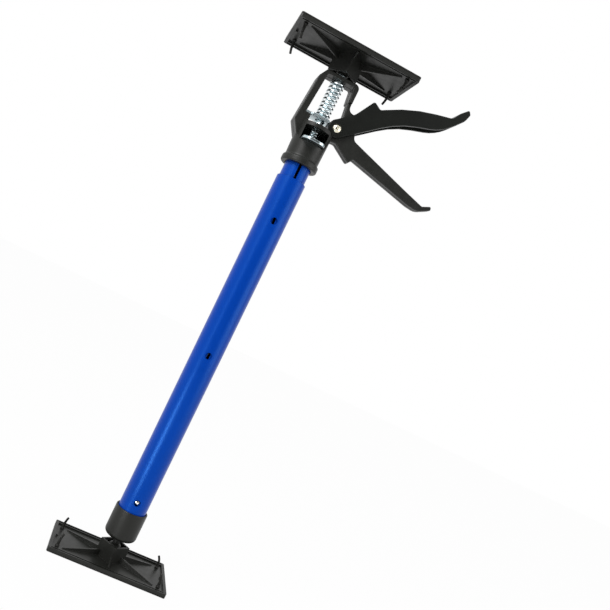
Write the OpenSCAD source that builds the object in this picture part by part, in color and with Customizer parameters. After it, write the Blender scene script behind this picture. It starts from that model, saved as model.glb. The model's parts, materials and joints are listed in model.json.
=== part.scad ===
// Telescopic support pole with a squeeze head and a swivel plate at each end.
// Millimetres. The origin is the middle of the foot pad's lower face, +Z runs up the pole,
// +X points to the trigger and handle, and -Y faces the viewer.

/* [Swivel plates] */
// Long side of each swivel plate
plate_length = 126.6; // [110:0.1:160]
// Short side of each swivel plate
plate_width = 70; // [66:0.1:90]
// From the flat face of a plate to its rim
plate_depth = 3.2; // [3:0.1:5]
// Corner radius of plate and pad
plate_corner = 2; // [1:0.1:4]
// Floor of the plate
plate_floor = 1.4; // [1.2:0.1:1.8]
// Width of the rim at the short ends
end_rim = 3.2; // [2.5:0.1:4]
// Outer wall of the long sides
side_wall = 1.4; // [1:0.1:2]
// Groove between outer wall and inner lip
side_groove = 2.6; // [2:0.1:3.2]
// Inner lip of the long sides
side_lip = 1.3; // [1:0.1:2]
// How far the lip and the groove floor lie below the rim
lip_drop = 0.3; // [0.2:0.1:0.8]
// Depth of the groove below the rim
groove_depth = 1.6; // [1:0.1:1.8]
// From the rim of a plate to the rim of its tower
tower_height = 15.2; // [15:0.1:18]
// Wall of the tower
tower_wall = 1.9; // [1.7:0.1:2.3]
// Ball of the swivel
ball_d = 17.6; // [17:0.1:18]
// From the tower's rim to the middle of the ball
ball_sink = 7.4; // [7:0.1:7.6]
// Space between the ball and its socket
socket_gap = 0.32; // [0.25:0.01:0.4]
// Length of the snap ridges that hold the ball
ridge_length = 8; // [5:0.1:10]
// How far a snap ridge stands in from its wall
ridge_reach = 1.1; // [0.9:0.05:1.2]
// From the middle of the ball to the snap ridges
ridge_rise = 4.6; // [4.4:0.1:5]
// Height of a snap ridge
ridge_height = 1.6; // [1:0.1:2]
// Thickness of the ribs
rib_thickness = 1.4; // [1:0.1:2]
// Height of a rib above the flat face, at the tower
rib_root_height = 7.6; // [6:0.1:10]
// Height of a rib above the flat face, at its outer end
rib_end_height = 2.2; // [2:0.1:3]
// Inner end of a rib, sideways from the middle
rib_root_x = 11.2; // [10:0.1:11.6]
// Inner end of a rib, across from the middle
rib_root_y = 3.2; // [3:0.1:3.8]
// Outer end of a rib, in from the plate's short end
rib_end_in = 14.6; // [12:0.1:20]
// Outer end of a rib, in from the plate's long side
rib_side_in = 12.1; // [10:0.1:14]
// Height of the small gusset on the tower's front corner, above the flat face
gusset_height = 8.6; // [7:0.1:12]
// Reach of the gusset from the tower's corner
gusset_reach = 11.9; // [6:0.1:12.5]
// Foot of the gusset above the flat face
gusset_foot = 3.2; // [2:0.1:4]
// Small pin beside the middle of each short end
end_pin_d = 2.2; // [1.5:0.1:3]
// From the short end to that pin
end_pin_in = 5.3; // [5:0.1:8]

/* [Pads] */
// Thickness of a rubber pad
pad_thickness = 1.8; // [1.6:0.1:4]
// Pad tails, in from the short end
tail_end_in = 8.6; // [8:0.1:11]
// Pad tails, in from the long side
tail_side_in = 12.8; // [11:0.1:16]
// Neck of a tail where it passes the plate
tail_d = 3.2; // [2.5:0.1:4]
// Bead that locks a tail behind the plate
bead_d = 5; // [4.4:0.1:6]
// Height of the bead
bead_height = 2; // [1.5:0.1:3]
// Free end of a tail
tail_tip_d = 2.4; // [1.8:0.1:3]
// How far a tail stands straight beyond the bead
tail_rise = 4.2; // [3:0.1:6]
// Length of a tail's leaning end
tail_reach = 6.4; // [4:0.1:9]
// Space round a tail in the plate
tail_gap = 0.15; // [0.05:0.05:0.4]

/* [Foot cup] */
// From the foot tower's rim to the cup
cup_gap = 7.9; // [6.5:0.1:10]
// Height of the cup
cup_height = 32; // [24:0.1:40]
// Wall of the cup
cup_wall = 2.15; // [1.8:0.05:3]
// Floor of the cup
cup_floor = 4; // [3:0.1:5]
// Rounding of the cup's lower edge
cup_round = 4.6; // [2:0.1:5]
// Flare at the cup's mouth
mouth_flare = 0.9; // [0.5:0.1:1.4]
// Neck between the cup and the ball
neck_d = 7.8; // [7:0.1:9]
// Spigot of the ball stud in the cup's floor
spigot_d = 5.4; // [4.5:0.1:6]
// Snap head on the spigot
snap_head_d = 8.4; // [7.5:0.1:10]
// Height of the snap head
snap_head_height = 2.4; // [1.5:0.1:4]

/* [Tubes] */
// Outer tube, outside
tube_d = 30; // [28:0.1:34]
// Wall of the outer tube
tube_wall = 1.4; // [1.2:0.1:1.6]
// Length of the outer tube
tube_length = 393.6; // [380:0.1:450]
// Wall of the inner tube
inner_wall = 1.2; // [1:0.1:1.4]
// Space between the two tubes
tube_gap = 0.35; // [0.3:0.05:0.5]
// Open seam of the inner tube
seam_width = 3; // [2:0.1:4]
// Length of the inner tube below its button
button_from_end = 20.5; // [20:0.1:30]
// Holes for the button
hole_d = 6.8; // [6.5:0.1:7.5]
// Lowest hole, from the outer tube's lower end
hole_from_end = 39.5; // [36:0.1:45]
// From the lowest to the middle hole
hole_pitch_low = 164; // [150:0.1:170]
// From the middle to the top hole
hole_pitch_high = 145.4; // [130:0.1:150]

/* [Snap button] */
// Button, outside
button_d = 5.8; // [5:0.1:6]
// Length of the button's shank behind its dome
button_shank = 4.2; // [3.5:0.1:4.5]
// Height of the button's dome
dome_height = 1.2; // [0.8:0.1:1.6]
// Dimple in the dome
dimple_d = 1.4; // [1:0.1:2]
// Flange that keeps the button in the tube
flange_d = 8.2; // [7.5:0.1:9]
// Thickness of that flange
flange_thickness = 1; // [0.8:0.1:1.2]
// Gap between the button's crown and the outer tube, out of a hole
button_gap = 0.12; // [0.08:0.01:0.2]
// Strip of the snap spring, thickness
leaf_thickness = 0.6; // [0.4:0.1:0.8]
// Strip of the snap spring, width
leaf_width = 7; // [5:0.1:8]
// Front leg of the snap spring above the button
leaf_rise = 5; // [4:0.1:8]
// From the button down to the spring's round end
leaf_drop = 8; // [6:0.1:9]

/* [Collar] */
// From the outer tube's rim to the collar
lip_gap = 14.4; // [8:0.1:25]
// Lip at the collar's mouth, outside
lip_d = 38; // [36:0.1:40]
// Height of the lip
lip_height = 6.6; // [5:0.1:9]
// Collar above the lip
collar_d = 34.4; // [33.5:0.1:36]
// Collar at its top
collar_top_d = 35.8; // [35:0.1:38]
// Edge rounding of the lip
lip_round = 1.6; // [1:0.1:2]
// How deep the inner tube sits in the collar
tube_seat = 17; // [12:0.1:18]
// Stop ledge over the inner tube
ledge_height = 2.4; // [2:0.1:3]
// Opening of the stop ledge
ledge_d = 21; // [20:0.1:22]
// Chamber of the brake
chamber_d = 28.8; // [28:0.1:29.5]
// Bottom of the window above the collar's mouth
window_floor = 22; // [21:0.1:23]
// Height of the window
window_height = 15; // [14.5:0.1:16]
// Width of the window
window_width = 25; // [24:0.1:26]
// Bridge over the window
ceiling = 4; // [3.5:0.1:4.5]

/* [Frame] */
// Front to back depth of the frame's arms
arm_depth = 19; // [17:0.1:22]
// Where the left arm leaves the collar, above the mouth
root_rise = 25.6; // [24:0.1:27]
// Knee of the left arm, sideways
knee_out = 25.2; // [24:0.1:28]
// Knee of the left arm, above the mouth
knee_rise = 38.4; // [37:0.1:40]
// Rounding of the knee
knee_round = 3; // [1:0.1:5]
// Left arm, outside at the top
arm_top_out = 21.2; // [20:0.1:23]
// Left end of the top's flat
top_flat_out = 15.8; // [14:0.1:17]
// Right arm, outside
arm_right_out = 19.8; // [19:0.1:22]
// Rounding of the frame's upper right corner
top_round = 5; // [3:0.1:6]
// Small rounding of the frame's other corners
frame_round = 1.8; // [0.8:0.1:2.5]
// Shoulder for the drive plate, above the bridge
shoulder_rise = 7.2; // [6:0.1:8]
// Inner end of the shoulder, sideways
shoulder_in = 12; // [11:0.1:13]
// Opening, left side at the shoulder
open_left_low = 17.6; // [17:0.1:18]
// Opening, left side at the top
open_left_top = 14.2; // [13:0.1:15]
// Opening, right side at the top
open_right_top = 11; // [10:0.1:12]
// Opening, right side at the step
open_right_low = 12.7; // [12:0.1:14]
// Step under the right arm, above the mouth
step_rise = 68.8; // [67:0.1:70]
// Top of the opening above the mouth
open_rise = 84; // [80:0.1:88]
// Thickness of the frame's top
frame_top = 8.8; // [7:0.1:11]
// Space between the frame's top and the head tower
tower_gap = 3.4; // [3.3:0.1:6]
// Space round the rod in bridge and top
rod_gap = 0.4; // [0.35:0.05:0.6]

/* [Handle] */
// From the pivot to the handle's tip, sideways
handle_length = 124.5; // [115:0.1:140]
// Front to back depth of the handle and its web
web_depth = 11.2; // [10:0.1:12]
// Boss round the pivot pin
boss_d = 10; // [9:0.1:10.4]

/* [Trigger] */
// Pivot, sideways from the pole's axis
pivot_x = 16.8; // [16.5:0.1:17.5]
// Pivot above the collar's mouth
pivot_rise = 47.8; // [47.5:0.1:48.5]
// From the pivot to the lever's tip, sideways
lever_length = 112; // [105:0.1:125]
// Outside width of the lever
lever_width = 18; // [17:0.1:19]
// Space between the lever's cheeks and the web
cheek_gap = 0.4; // [0.3:0.05:0.6]
// Back wall of the lever
back_wall = 2.5; // [2:0.1:3]
// Nose of the lever round the pivot
nose_d = 17.4; // [17:0.1:17.6]
// Space round the nose in the head body
nose_gap = 0.5; // [0.4:0.05:0.7]
// First angle of the web in the nose that lifts the drive plate
cam_start = 178; // [176:1:180]
// Last angle of that web
cam_end = 250; // [240:1:252]
// How far that web stands back from the edge of the nose
cam_inset = 0.3; // [0.2:0.05:0.5]
// Pivot pin, shank
pin_d = 4.2; // [3.8:0.1:4.6]
// Running gap round the pin in the lever
pin_gap = 0.06; // [0.03:0.01:0.09]
// Head of the pin
pin_head_d = 8.3; // [7:0.1:9]
// Height of the pin's domed head
pin_head_height = 1.9; // [1.4:0.1:2.4]
// Riveted end of the pin
pin_end_d = 6.4; // [6:0.1:7]
// Height of the riveted end
pin_end_height = 1; // [0.8:0.1:1.4]
// Space under the pin's two heads
pin_seat_gap = 0.2; // [0.1:0.05:0.3]

/* [Drive plate] */
// Thickness of the drive plate and the brake plate
plate_thickness = 3; // [2.8:0.1:3.2]
// Space under the drive plate at rest
seat_gap = 0.3; // [0.2:0.05:0.35]
// Depth of the drive plate's middle
drive_depth = 16; // [14:0.1:17]
// Middle of the drive plate, left end
drive_left = 11; // [10:0.1:11.5]
// Middle of the drive plate, right end
drive_right = 7.6; // [7:0.1:7.7]
// Depth of the left tongue
left_tongue = 10; // [8:0.1:12]
// Depth of the right tongue
right_tongue = 9; // [8:0.1:10]
// Space between the right tongue and the boss
tongue_gap = 0.6; // [0.4:0.05:0.8]
// Space round the rod in the drive plate
drive_hole_gap = 0.6; // [0.55:0.01:0.7]

/* [Brake plate] */
// Width of the brake plate's tongue
brake_width = 23; // [22:0.1:23.5]
// Reach of the brake plate in front of the pole's axis
brake_reach = 29; // [26:0.1:32]
// Rounding of the tongue's end
brake_round = 9; // [6:0.1:11]
// Disc of the brake plate inside the chamber
brake_disc_d = 27; // [26:0.1:27.2]
// Width of the tab in the collar's rear wall
brake_tab = 10; // [8:0.1:12]
// Hinge line of the brake plate behind the pole's axis
brake_back = 13.7; // [13.4:0.1:14]
// Hinge line above the window's floor
brake_rise = 5; // [4.8:0.1:5.4]
// Slope of the brake plate at rest, degrees
brake_tilt = 4.5; // [4:0.1:5]
// Space round the rod in the brake plate
brake_hole_gap = 0.36; // [0.3:0.02:0.45]
// Space round the tab in its slot
slot_gap = 0.45; // [0.4:0.05:0.5]

/* [Springs] */
// Main spring, outside
main_spring_d = 15; // [14:0.1:16]
// Main spring, wire
main_wire_d = 1.9; // [1.7:0.1:2]
// Free curls of the main spring
main_turns = 6.5; // [5:0.5:7]
// Brake spring, outside
brake_spring_d = 12.4; // [12:0.1:13]
// Brake spring, wire
brake_wire_d = 1.2; // [1:0.1:1.3]
// Curls of the brake spring
brake_turns = 3.5; // [3:0.5:4]
// Gap between the closed curls at the main spring's ends
closed_gap = 0.7; // [0.6:0.05:0.9]
// Space at both ends of a spring
spring_end_gap = 0.3; // [0.2:0.05:0.4]

/* [Rod] */
// Hexagonal rod, across flats
rod_flats = 8; // [7:0.1:8.2]
// Length of the rod below its round end
rod_length = 354.5; // [340:0.1:370]
// Round end of the rod in the ball
rod_end_d = 6; // [5:0.1:6.5]
// Riveted head on the rod's round end
rod_rivet_d = 9; // [8:0.1:10]
// Height of the riveted head
rod_rivet_height = 1.5; // [1:0.1:2]
// Length of the round end
rod_end_length = 13; // [12.5:0.1:13.5]
// Running gap in the ball
ball_bore_gap = 0.06; // [0.03:0.01:0.09]
// Stop ring on the rod's lower end, outside
stop_d = 22.6; // [22:0.1:23]
// Height of the stop ring
stop_height = 8; // [6:0.1:12]
// Rod below the stop ring
stop_from_end = 1.5; // [1:0.1:4]

/* [Hidden] */
$fn = 72;
// overrun of every cut, and the running, press and seat gaps that many pairs share
cut = 1;
press_gap = 0.03;
running_gap = 0.06;
axial_gap = 0.2;
// angle of one step on a rounded outline, and the coarser step of turned profiles
arc_step = 9;
profile_step = 18;
// rings to a curl and sides of the wire
curl_rings = 8;
wire_sides = 6;
closed_turns = 1;
// steps along the cam, and the angle that is cleared for the lever's turn
cam_steps = 8;
lift_angle = 33;
// where the ball is cut flat for the rod's shoulder, as a share of its radius
ball_flat_share = 0.86;
// how far the drive plate's round edge stands in the arm, as a share of its radius
hinge_share = 0.2;
// room behind the snap spring in the round tube, as a share of its width
leaf_back_share = 0.12;

// heights, from the floor up
foot_rim_z = pad_thickness + plate_depth;
foot_tower_z = foot_rim_z + tower_height;
foot_ball_z = foot_tower_z - ball_sink;
cup_z = foot_tower_z + cup_gap;
tube_z = cup_z + cup_floor;
cup_top_z = cup_z + cup_height;
tube_top_z = tube_z + tube_length;
hole_low_z = tube_z + hole_from_end;
hole_mid_z = hole_low_z + hole_pitch_low;
hole_top_z = hole_mid_z + hole_pitch_high;
inner_z = hole_low_z - button_from_end;
collar_z = tube_top_z + lip_gap;
inner_top_z = collar_z + tube_seat;
ledge_top_z = inner_top_z + ledge_height;
window_z = collar_z + window_floor;
window_top_z = window_z + window_height;
bridge_z = window_top_z + ceiling;
shoulder_z = bridge_z + shoulder_rise;
drive_z = shoulder_z + seat_gap;
drive_mid_z = drive_z + plate_thickness / 2;
pivot_z = collar_z + pivot_rise;
step_z = collar_z + step_rise;
open_top_z = collar_z + open_rise;
body_top_z = open_top_z + frame_top;
head_tower_z = body_top_z + tower_gap;
head_ball_z = head_tower_z + ball_sink;
total_height = head_tower_z + tower_height + plate_depth + pad_thickness;

// plan sizes
ball_r = ball_d / 2;
socket_r = ball_r + socket_gap;
tower_side = 2 * (socket_r + tower_wall);
tower_half = tower_side / sqrt(2);
tower_top = plate_depth + tower_height;
ball_height = tower_top - ball_sink;
rib_end_x = plate_length / 2 - rib_end_in;
rib_end_y = plate_width / 2 - rib_side_in;
tail_x = plate_length / 2 - tail_end_in;
tail_y = plate_width / 2 - tail_side_in;
tail_hole_r = tail_d / 2 + tail_gap;
tube_r = tube_d / 2;
tube_bore_r = tube_r - tube_wall;
inner_r = tube_bore_r - tube_gap;
inner_bore_r = inner_r - inner_wall;
cup_bore_r = tube_r + press_gap;
cup_r = cup_bore_r + cup_wall;
collar_bore_r = inner_r + press_gap;
collar_mouth_r = collar_bore_r + mouth_flare;
rod_r = rod_flats / sqrt(3);
rod_hole_r = rod_r + rod_gap;
rod_shoulder_z = head_ball_z - ball_r * ball_flat_share;
rod_z = rod_shoulder_z - rod_length;
stop_z = rod_z + stop_from_end;
rivet_z = rod_shoulder_z + rod_end_length;
web_half = web_depth / 2;
cheek_in = web_half + cheek_gap;
nose_r = nose_d / 2;
nose_room = nose_r + nose_gap;
boss_r = boss_d / 2;
cam_r = nose_r - cam_inset;
cam_in_r = boss_r + nose_gap;
cam_room_r = nose_room + cam_inset;
edge_r = plate_thickness / 2;
hinge_x = -(open_left_low + edge_r * hinge_share);
tongue_end = pivot_x - boss_r - tongue_gap;
brake_hinge_z = window_z + brake_rise;
button_crown = tube_bore_r - button_gap;
flange_y = button_crown - dome_height - button_shank;
leaf_front = flange_y - flange_thickness;
leaf_back = inner_bore_r - leaf_width * leaf_back_share;
leaf_bend_r = (leaf_front + leaf_back) / 2;

// outline of the lever from the pivot, as shares of lever_length: across, up, corner radius
nose_top_share = [-0.050, 0.058, 0];
lever_back_shares = [
    [0.095, 0.178, 0.107],
    [0.203, 0.343, 0.021],
    [0.280, 0.300, 0.027],
    [0.464, 0.416, 0.980],
    [0.864, 0.521, 0.160]
];
lever_front_shares = [
    [1.017, 0.702, 0.016],
    [0.971, 0.439, 0.340],
    [0.353, 0.190, 1.610],
    [0.038, -0.074, 0.089],
    [-0.027, -0.070, 0]
];
// hollow of the lever: its open side and its end, in the same shares
lever_open_shares = [
    [0.940, 0.480, 0],
    [0.950, 0.200, 0],
    [0.250, -0.150, 0],
    [0.080, -0.050, 0]
];
// gap between the cheeks at the nose, where the web and the drive plate enter
nose_open_shares = [
    [-0.130, -0.130, 0],
    [-0.130, 0.110, 0],
    [0.080, 0.230, 0],
    [0.112, 0.203, 0],
    [0.140, 0.180, 0],
    [0.200, -0.130, 0]
];
// outline of the web and handle from the pivot, as shares of handle_length
handle_shares = [
    [0.004, 0.220, 0],
    [0.027, 0.220, 0],
    [0.031, 0.165, 0.040],
    [0.080, 0.160, 0.012],
    [0.162, 0.052, 0.016],
    [0.160, -0.027, 0.048],
    [0.892, -0.212, 0.040],
    [1.052, -0.151, 0.008],
    [0.882, -0.263, 0.080],
    [0.233, -0.143, 0.012],
    [0.203, -0.187, 0.018],
    [0.048, -0.098, 0.032],
    [-0.040, -0.108, 0],
    [-0.040, 0.010, 0],
    [0.013, 0.050, 0]
];
// lean of the four pad tails, in degrees from the pad's normal
tail_leans = [[12, -8], [-14, -10], [10, 12], [-26, 14]];

// rounding of the corner b between a and c: an arc of radius r that both sides touch
function bend(a, b, c, r, step) =
    let (u = (a - b) / norm(a - b), v = (c - b) / norm(c - b),
         half = acos(u * v) / 2,
         centre = b + (u + v) / norm(u + v) * r / sin(half),
         from = b + u * r / tan(half) - centre,
         to = b + v * r / tan(half) - centre,
         start = atan2(from.y, from.x),
         turn = atan2(from.x * to.y - from.y * to.x, from * to),
         n = max(2, ceil(abs(turn) / step)))
    [for (i = [0 : n]) centre + r * [cos(start + turn * i / n), sin(start + turn * i / n)]];

// closed outline from corners [x, y, radius]; a radius of zero stays sharp
function rounded(corners, step) =
    let (n = len(corners))
    [for (i = [0 : n - 1])
        let (p = corners[(i + n - 1) % n], b = corners[i], q = corners[(i + 1) % n])
        each b.z == 0 ? [[b.x, b.y]] : bend([p.x, p.y], [b.x, b.y], [q.x, q.y], b.z, step)];

function sized(shares, size) = [for (s = shares) s * size];

function left_of(a, b) = [a.y - b.y, b.x - a.x] / norm([a.y - b.y, b.x - a.x]);

// corners of a clockwise outline moved inwards by w; radii grow or shrink with the side
function inset(corners, w) =
    let (n = len(corners))
    [for (i = [0 : n - 1])
        let (p = corners[(i + n - 1) % n], b = corners[i], q = corners[(i + 1) % n],
             one = -left_of(p, b), two = -left_of(b, q),
             outer = (b.x - p.x) * (q.y - b.y) - (b.y - p.y) * (q.x - b.x) < 0,
             move = (one + two) / (1 + one * two) * w)
        [b.x + move.x, b.y + move.y, b.z == 0 ? 0 : max(outer ? b.z - w : b.z + w, 0)]];

// a plate of the given depth, cut to an outline in the X-Z plane and centred on Y = 0
module slab(outline, depth)
    rotate([90, 0, 0])
    linear_extrude(height = depth, center = true)
    polygon(outline);

// a round bar along Y from front to back
module bar(x, z, r, front, back)
    translate([x, back, z])
    rotate([90, 0, 0])
    cylinder(r = r, h = back - front);

module rounded_box(length, width, height, corner)
    linear_extrude(height = height)
    polygon(rounded([
        [-length / 2, -width / 2, corner],
        [length / 2, -width / 2, corner],
        [length / 2, width / 2, corner],
        [-length / 2, width / 2, corner]
    ], profile_step));

module box(size_x, size_y, size_z, z)
    translate([-size_x / 2, -size_y / 2, z])
    cube([size_x, size_y, size_z]);

// both end plates are one moulding, flat face down here
module swivel_plate() {
    inner_length = plate_length - 2 * end_rim;
    groove_y = plate_width / 2 - side_wall - side_groove;
    inner_width = 2 * (groove_y - side_lip);
    difference() {
        union() {
            difference() {
                rounded_box(plate_length, plate_width, plate_depth, plate_corner);
                box(inner_length, inner_width, plate_depth, plate_floor);
                for (side = [0, 1])
                    mirror([0, side, 0])
                    side_cuts(inner_length, groove_y);
            }
            rotate([0, 0, 45])
            box(tower_side, tower_side, tower_top - plate_floor / 2, plate_floor / 2);
            for (x = [0, 1], y = [0, 1])
                mirror([x, 0, 0])
                mirror([0, y, 0])
                rib();
            for (y = [0, 1])
                mirror([0, y, 0])
                gusset();
            for (x = [0, 1])
                mirror([x, 0, 0])
                translate([plate_length / 2 - end_pin_in, 0, plate_floor / 2])
                cylinder(d = end_pin_d, h = plate_depth - plate_floor / 2);
        }
        tower_hollow();
        for (x = [-tail_x, tail_x], y = [-tail_y, tail_y])
            translate([x, y, -cut])
            cylinder(r = tail_hole_r, h = plate_depth + cut);
    }
    intersection() {
        rotate([0, 0, 45])
        box(tower_side - tower_wall, tower_side - tower_wall, tower_top, plate_floor / 2);
        snap_ridges();
    }
}

// groove and lowered lip along one long side
module side_cuts(inner_length, groove_y) {
    translate([-inner_length / 2, groove_y, plate_depth - groove_depth])
    cube([inner_length, side_groove, groove_depth + cut]);
    translate([-inner_length / 2, groove_y - side_lip - cut, plate_depth - lip_drop])
    cube([inner_length, side_lip + 2 * cut, lip_drop + cut]);
}

// one rib from the tower out to a corner, its crest falling on the way
module rib() {
    run = norm([rib_end_x - rib_root_x, rib_end_y - rib_root_y]);
    translate([rib_root_x, rib_root_y, 0])
    rotate([0, 0, atan2(rib_end_y - rib_root_y, rib_end_x - rib_root_x)])
    slab([
        [0, plate_floor / 2],
        [run, plate_floor / 2],
        [run, rib_end_height],
        [0, rib_root_height]
    ], rib_thickness);
}

// small gusset on the tower's front corner
module gusset()
    translate([0, -tower_half + rib_thickness, 0])
    rotate([0, 0, -90])
    slab([
        [0, plate_floor / 2],
        [gusset_reach + rib_thickness, plate_floor / 2],
        [gusset_reach + rib_thickness, gusset_foot],
        [0, gusset_height]
    ], rib_thickness);

// square well above the seat, and the ball's own room in the seat
module tower_hollow() {
    rotate([0, 0, 45])
    box(2 * socket_r, 2 * socket_r, tower_height + plate_depth, ball_height);
    translate([0, 0, ball_height])
    sphere(r = socket_r);
}

// four ridges that the ball snaps past
module snap_ridges()
    difference() {
        for (a = [0 : 90 : 270])
            rotate([0, 0, 45 + a])
            translate([socket_r - ridge_reach, -ridge_length / 2, ball_height + ridge_rise])
            cube([ridge_reach + tower_wall / 2, ridge_length, ridge_height]);
        translate([0, 0, ball_height])
        sphere(r = socket_r);
    }

// pad with its four tails pulled through the plate
module rubber_pad() {
    rounded_box(plate_length, plate_width, pad_thickness, plate_corner);
    for (i = [0, 1], j = [0, 1])
        translate([(2 * i - 1) * tail_x, (2 * j - 1) * tail_y, pad_thickness / 2])
        tail(tail_leans[i + 2 * j]);
}

module tail(lean) {
    bead_z = pad_thickness / 2 + plate_floor + axial_gap;
    bend_z = bead_z + bead_height + tail_rise;
    cylinder(d = tail_d, h = bead_z + bead_height / 2);
    translate([0, 0, bead_z])
    cylinder(d1 = bead_d, d2 = tail_d, h = bead_height);
    translate([0, 0, bead_z])
    cylinder(d = tail_tip_d, h = bend_z - bead_z);
    translate([0, 0, bend_z - tail_tip_d / 2])
    rotate([lean.y, lean.x, 0])
    cylinder(d1 = tail_d, d2 = tail_tip_d, h = tail_reach);
}

module foot_pad()
    color("#2b2b2a")
    rubber_pad();

module foot_plate()
    color("#30312d")
    translate([0, 0, pad_thickness])
    swivel_plate();

module head_plate()
    color("#30312d")
    translate([0, 0, total_height - pad_thickness])
    rotate([180, 0, 0])
    swivel_plate();

module head_pad()
    color("#2b2b2a")
    translate([0, 0, total_height])
    rotate([180, 0, 0])
    rubber_pad();

// ball and neck in one, with a spigot that snaps into the cup's floor
module foot_ball_stud() {
    neck_top_z = cup_z - axial_gap;
    head_z = tube_z + axial_gap;
    color("#262624")
    union() {
        translate([0, 0, foot_ball_z])
        sphere(r = ball_r);
        translate([0, 0, foot_ball_z])
        cylinder(d = neck_d, h = neck_top_z - foot_ball_z);
        translate([0, 0, foot_ball_z])
        cylinder(d = spigot_d, h = head_z + snap_head_height / 2 - foot_ball_z);
        translate([0, 0, head_z])
        cylinder(d1 = snap_head_d, d2 = spigot_d, h = snap_head_height);
    }
}

module foot_cup()
    color("#30312d")
    rotate_extrude()
    polygon(rounded([
        [spigot_d / 2 + running_gap, cup_z, 0],
        [cup_r, cup_z, cup_round],
        [cup_r, cup_top_z, frame_round / 2],
        [cup_bore_r + mouth_flare, cup_top_z, 0],
        [cup_bore_r, cup_top_z - 2 * mouth_flare, 0],
        [cup_bore_r, tube_z, 0],
        [spigot_d / 2 + running_gap, tube_z, 0]
    ], profile_step));

module pipe(r, wall, z, length)
    translate([0, 0, z])
    difference() {
        cylinder(r = r, h = length);
        translate([0, 0, -cut])
        cylinder(r = r - wall, h = length + 2 * cut);
    }

module outer_tube()
    color("#0a3fae")
    difference() {
        pipe(tube_r, tube_wall, tube_z, tube_length);
        for (z = [hole_low_z, hole_mid_z, hole_top_z])
            bar(0, z, hole_d / 2, -tube_r - cut, 0);
    }

module inner_tube()
    color("#0a3fae")
    difference() {
        pipe(inner_r, inner_wall, inner_z, inner_top_z - inner_z);
        translate([-seam_width / 2, -inner_r - cut, inner_z - cut])
        cube([seam_width, inner_r + cut, inner_top_z - inner_z + 2 * cut]);
        bar(0, hole_low_z, hole_d / 2 - tube_gap / 2, -inner_r - cut, 0);
    }

// crown at the outer tube's bore, flange inside the inner tube
module snap_button() {
    r = button_d / 2;
    dome_r = (r * r + dome_height * dome_height) / (2 * dome_height);
    color("#c9ccd0")
    difference() {
        union() {
            bar(0, hole_low_z, flange_d / 2, -flange_y, -leaf_front);
            intersection() {
                bar(0, hole_low_z, r, -button_crown, -leaf_front);
                translate([0, dome_r - button_crown, hole_low_z])
                sphere(r = dome_r);
            }
            bar(0, hole_low_z, r, -button_crown + dome_height, -leaf_front);
        }
        translate([0, -button_crown, hole_low_z])
        sphere(d = dimple_d);
    }
}

// hairpin strip: a leg behind the button, a round end and a leg on the rear wall
module snap_spring() {
    middle_y = (leaf_back - leaf_front) / 2;
    bend_z = hole_low_z - leaf_drop;
    color("#a8acb0")
    translate([0, middle_y, bend_z])
    rotate([90, 0, 90])
    linear_extrude(height = leaf_width, center = true)
    union() {
        difference() {
            circle(r = leaf_bend_r);
            circle(r = leaf_bend_r - leaf_thickness);
            translate([-leaf_bend_r - cut, 0])
            square([2 * (leaf_bend_r + cut), leaf_bend_r + cut]);
        }
        translate([-leaf_bend_r, -leaf_thickness / 2])
        square([leaf_thickness, leaf_drop + leaf_rise]);
        translate([leaf_bend_r - leaf_thickness, -leaf_thickness / 2])
        square([leaf_thickness, leaf_drop + 2 * leaf_rise]);
    }
}

// collar with lip, frame with its opening, and the handle's web, before the cuts
module head_solid() {
    rotate_extrude()
    polygon(rounded([
        [0, collar_z, 0],
        [lip_d / 2, collar_z, lip_round],
        [lip_d / 2, collar_z + lip_height, lip_round],
        [collar_d / 2, collar_z + lip_height + lip_round, lip_round / 2],
        [collar_top_d / 2, bridge_z, frame_round / 2],
        [0, bridge_z, 0]
    ], profile_step));
    slab(rounded([
        [-shoulder_in, collar_z + root_rise - frame_round, 0],
        [-collar_d / 2, collar_z + root_rise, 0],
        [-knee_out, collar_z + knee_rise, knee_round],
        [-arm_top_out, open_top_z, frame_round],
        [-top_flat_out, body_top_z, frame_round],
        [arm_right_out, body_top_z, top_round],
        [arm_right_out, step_z, 0],
        [open_right_low, step_z, frame_round / 2],
        [open_right_top, open_top_z, frame_round],
        [-open_left_top, open_top_z, frame_round],
        [-open_left_low, shoulder_z, 0],
        [-shoulder_in, shoulder_z, 0]
    ], arc_step), arm_depth);
    translate([pivot_x, 0, pivot_z])
    slab(rounded(sized(handle_shares, handle_length), arc_step), web_depth);
    bar(pivot_x, pivot_z, boss_r, -web_half, web_half);
}

// bore for the inner tube, ledge over it, brake chamber and the rod's holes
module collar_bore() {
    rotate_extrude()
    polygon([
        [0, collar_z - cut],
        [collar_mouth_r, collar_z - cut],
        [collar_mouth_r, collar_z + mouth_flare],
        [collar_bore_r, collar_z + 2 * mouth_flare],
        [collar_bore_r, inner_top_z],
        [ledge_d / 2, inner_top_z],
        [ledge_d / 2, ledge_top_z],
        [chamber_d / 2, ledge_top_z],
        [chamber_d / 2, window_top_z],
        [rod_hole_r, window_top_z],
        [rod_hole_r, body_top_z + cut],
        [0, body_top_z + cut]
    ]);
    translate([-window_width / 2, -lip_d, window_z])
    cube([window_width, lip_d, window_height]);
}

// sector of the nose's room between the cheeks, from the cam's last angle to its lifted place
module cam_room() {
    sweep = [cam_start - lift_angle : arc_step : cam_end + arc_step];
    difference() {
        translate([pivot_x, 0, pivot_z])
        slab(concat([[0, 0]], [for (a = sweep) cam_room_r * [cos(a), sin(a)]]), 2 * cheek_in);
        bar(pivot_x, pivot_z, boss_r, -arm_depth, arm_depth);
    }
}

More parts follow.
